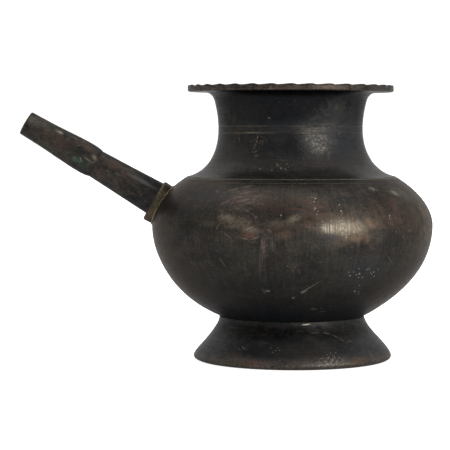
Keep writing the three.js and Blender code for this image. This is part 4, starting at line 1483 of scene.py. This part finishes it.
def bead_mesh():
    """The braze bead: every point is carried down to lie on the bowl."""
    bm = spun(braze_profile(), TUBE_STEPS)
    lowered(bm)
    for vert in bm.verts:
        radius = math.hypot(vert.co.x, vert.co.y) / MM
        depth = saddle(math.atan2(vert.co.y, vert.co.x), radius)
        ripple = noise.noise(vert.co / (BRAZE_RIPPLE_SIZE * MM)) * BRAZE_RIPPLE
        vert.co.z += (depth - BRAZE_FOOT - BRAZE_SINK + ripple) * MM
    on_spout(bm)
    return mesh_of("collar_bead", bm)


piece(
    "collar_bead", bead_mesh(), seam_finish("collar_bead_braze", GOLDEN, DULL_BRASS),
    "spout_braze", BEAD_CREASE)


def spout_piece(name, profile, material, node, foot=None, lift=0):
    bm = spun(profile, TUBE_STEPS)
    if foot is not None:
        lowered(bm)
        seated(bm, foot + SLIVER, lift)
    on_spout(bm)
    return piece(name, mesh_of(name, bm), material, node, SPOUT_CREASE)


spout_piece(
    "spout_collar_ring", collar_profile(), collar_finish(), "spout_collar",
    COLLAR_FOOT, COLLAR_LIFT)
spout_piece(
    "spout_root", root_tube_profile(), tube_finish("root_tube_patina", root_tube_marks, (24, 6, 0.55)),
    "spout_root_tube")
spout_piece(
    "spout_tip", tip_tube_profile(), tube_finish("tip_tube_patina", tip_tube_marks, (62, 44, 0.25)),
    "spout_tip_tube")


# Studio: a pale floor under a white surround that is dimmer in front of the pot
FLOOR_RADIUS, FLOOR_STEPS = 6, 96
FLOOR_WHITE = (0.80, 0.80, 0.80, 1)
FLOOR_ROUGHNESS, FLOOR_SHEEN = 0.9, 0.1
FLOOR_STRENGTH = 0.85
FLOOR_GLOW = 0.25
FRONT_LIGHT = 0.35
SURROUND_LIGHT = 1.2
BRIGHT_SIDE = (0.48, 0.75, 0.60)
DIM_UP_TO, BRIGHT_FROM = -0.80, 0.55
SEEN_WHITE = 1.15
AIM = POT_AXIS + Vector((0, 0, 0.07))


def studio_floor():
    bm = bmesh.new()
    bmesh.ops.create_circle(bm, cap_ends=True, segments=FLOOR_STEPS, radius=FLOOR_RADIUS)
    mesh = mesh_of("studio_floor", bm)
    material = bpy.data.materials.new("pale_floor")
    material.use_nodes = True
    shader = material.node_tree.nodes["Principled BSDF"]
    shader.inputs["Base Color"].default_value = FLOOR_WHITE
    shader.inputs["Roughness"].default_value = FLOOR_ROUGHNESS
    shader.inputs["Specular IOR Level"].default_value = FLOOR_SHEEN
    seen = material.node_tree.nodes.new("ShaderNodeLightPath")
    lit = material.node_tree.nodes.new("ShaderNodeMapRange")
    material.node_tree.links.new(seen.outputs["Is Camera Ray"], lit.inputs["Value"])
    lit.inputs["To Min"].default_value = FLOOR_GLOW
    material.node_tree.links.new(lit.outputs[0], shader.inputs["Emission Color"])
    shader.inputs["Emission Strength"].default_value = FLOOR_STRENGTH
    mesh.materials.append(material)
    made = bpy.data.objects.new("studio_floor", mesh)
    bpy.context.scene.collection.objects.link(made)


def surround():
    """White, dimmer in front of the pot, and one plain white where the camera sees it."""
    world = bpy.data.worlds.new("white_surround")
    world.use_nodes = True
    nodes, links = world.node_tree.nodes, world.node_tree.links
    background = nodes["Background"]
    place = nodes.new("ShaderNodeTexCoord")
    towards = nodes.new("ShaderNodeVectorMath")
    towards.operation = "DOT_PRODUCT"
    links.new(place.outputs["Generated"], towards.inputs[0])
    towards.inputs[1].default_value = BRIGHT_SIDE
    dim = nodes.new("ShaderNodeMapRange")
    dim.interpolation_type = "SMOOTHSTEP"
    links.new(towards.outputs["Value"], dim.inputs["Value"])
    dim.inputs["From Min"].default_value = DIM_UP_TO
    dim.inputs["From Max"].default_value = BRIGHT_FROM
    dim.inputs["To Min"].default_value = FRONT_LIGHT
    dim.inputs["To Max"].default_value = SURROUND_LIGHT
    seen = nodes.new("ShaderNodeLightPath")
    pick = nodes.new("ShaderNodeMix")
    links.new(seen.outputs["Is Camera Ray"], pick.inputs[0])
    links.new(dim.outputs[0], pick.inputs[2])
    pick.inputs[3].default_value = SEEN_WHITE
    links.new(pick.outputs[0], background.inputs["Strength"])
    background.inputs["Color"].default_value = (1, 1, 1, 1)
    bpy.context.scene.world = world


def softbox(name, bearing, size, radiance, tint=(1, 1, 1)):
    """An area light by its radiance, unseen by the camera; bearing is (azimuth, rise, distance)."""
    light = bpy.data.lights.new(name, "AREA")
    light.shape = "RECTANGLE"
    light.size, light.size_y = size
    light.energy = radiance * math.pi * size[0] * size[1]
    light.color = tint
    azimuth, rise = math.radians(bearing[0]), math.radians(bearing[1])
    flat = Vector((math.cos(azimuth), math.sin(azimuth), 0)) * math.cos(rise)
    away = flat + Vector((0, 0, math.sin(rise)))
    made = bpy.data.objects.new(name, light)
    made.location = AIM + away * bearing[2]
    made.rotation_euler = (AIM - made.location).to_track_quat("-Z", "Y").to_euler()
    made.visible_camera = False
    bpy.context.scene.collection.objects.link(made)


studio_floor()
surround()
softbox("key_softbox", (-53, 10, 1.3), (0.90, 0.66), 4.8, (1, 0.97, 0.93))
softbox("top_softbox", (90, 82, 1.6), (1.6, 1.6), 1.2)

# Camera at the photograph's place
CAMERA_PITCH = 2.958
CAMERA_LENS = 152.04
CAMERA_PLACE = (POT_AXIS.x - 0.03435, -0.9729, 0.1192)
SENSOR_WIDTH = 36
camera_data = bpy.data.cameras.new("camera")
camera_data.lens = CAMERA_LENS
camera_data.sensor_width = SENSOR_WIDTH
camera = bpy.data.objects.new("camera", camera_data)
camera.location = CAMERA_PLACE
camera.rotation_euler = (math.radians(90 - CAMERA_PITCH), 0, 0)
bpy.context.scene.collection.objects.link(camera)
bpy.context.scene.camera = camera
bpy.context.scene.view_settings.view_transform = "Standard"
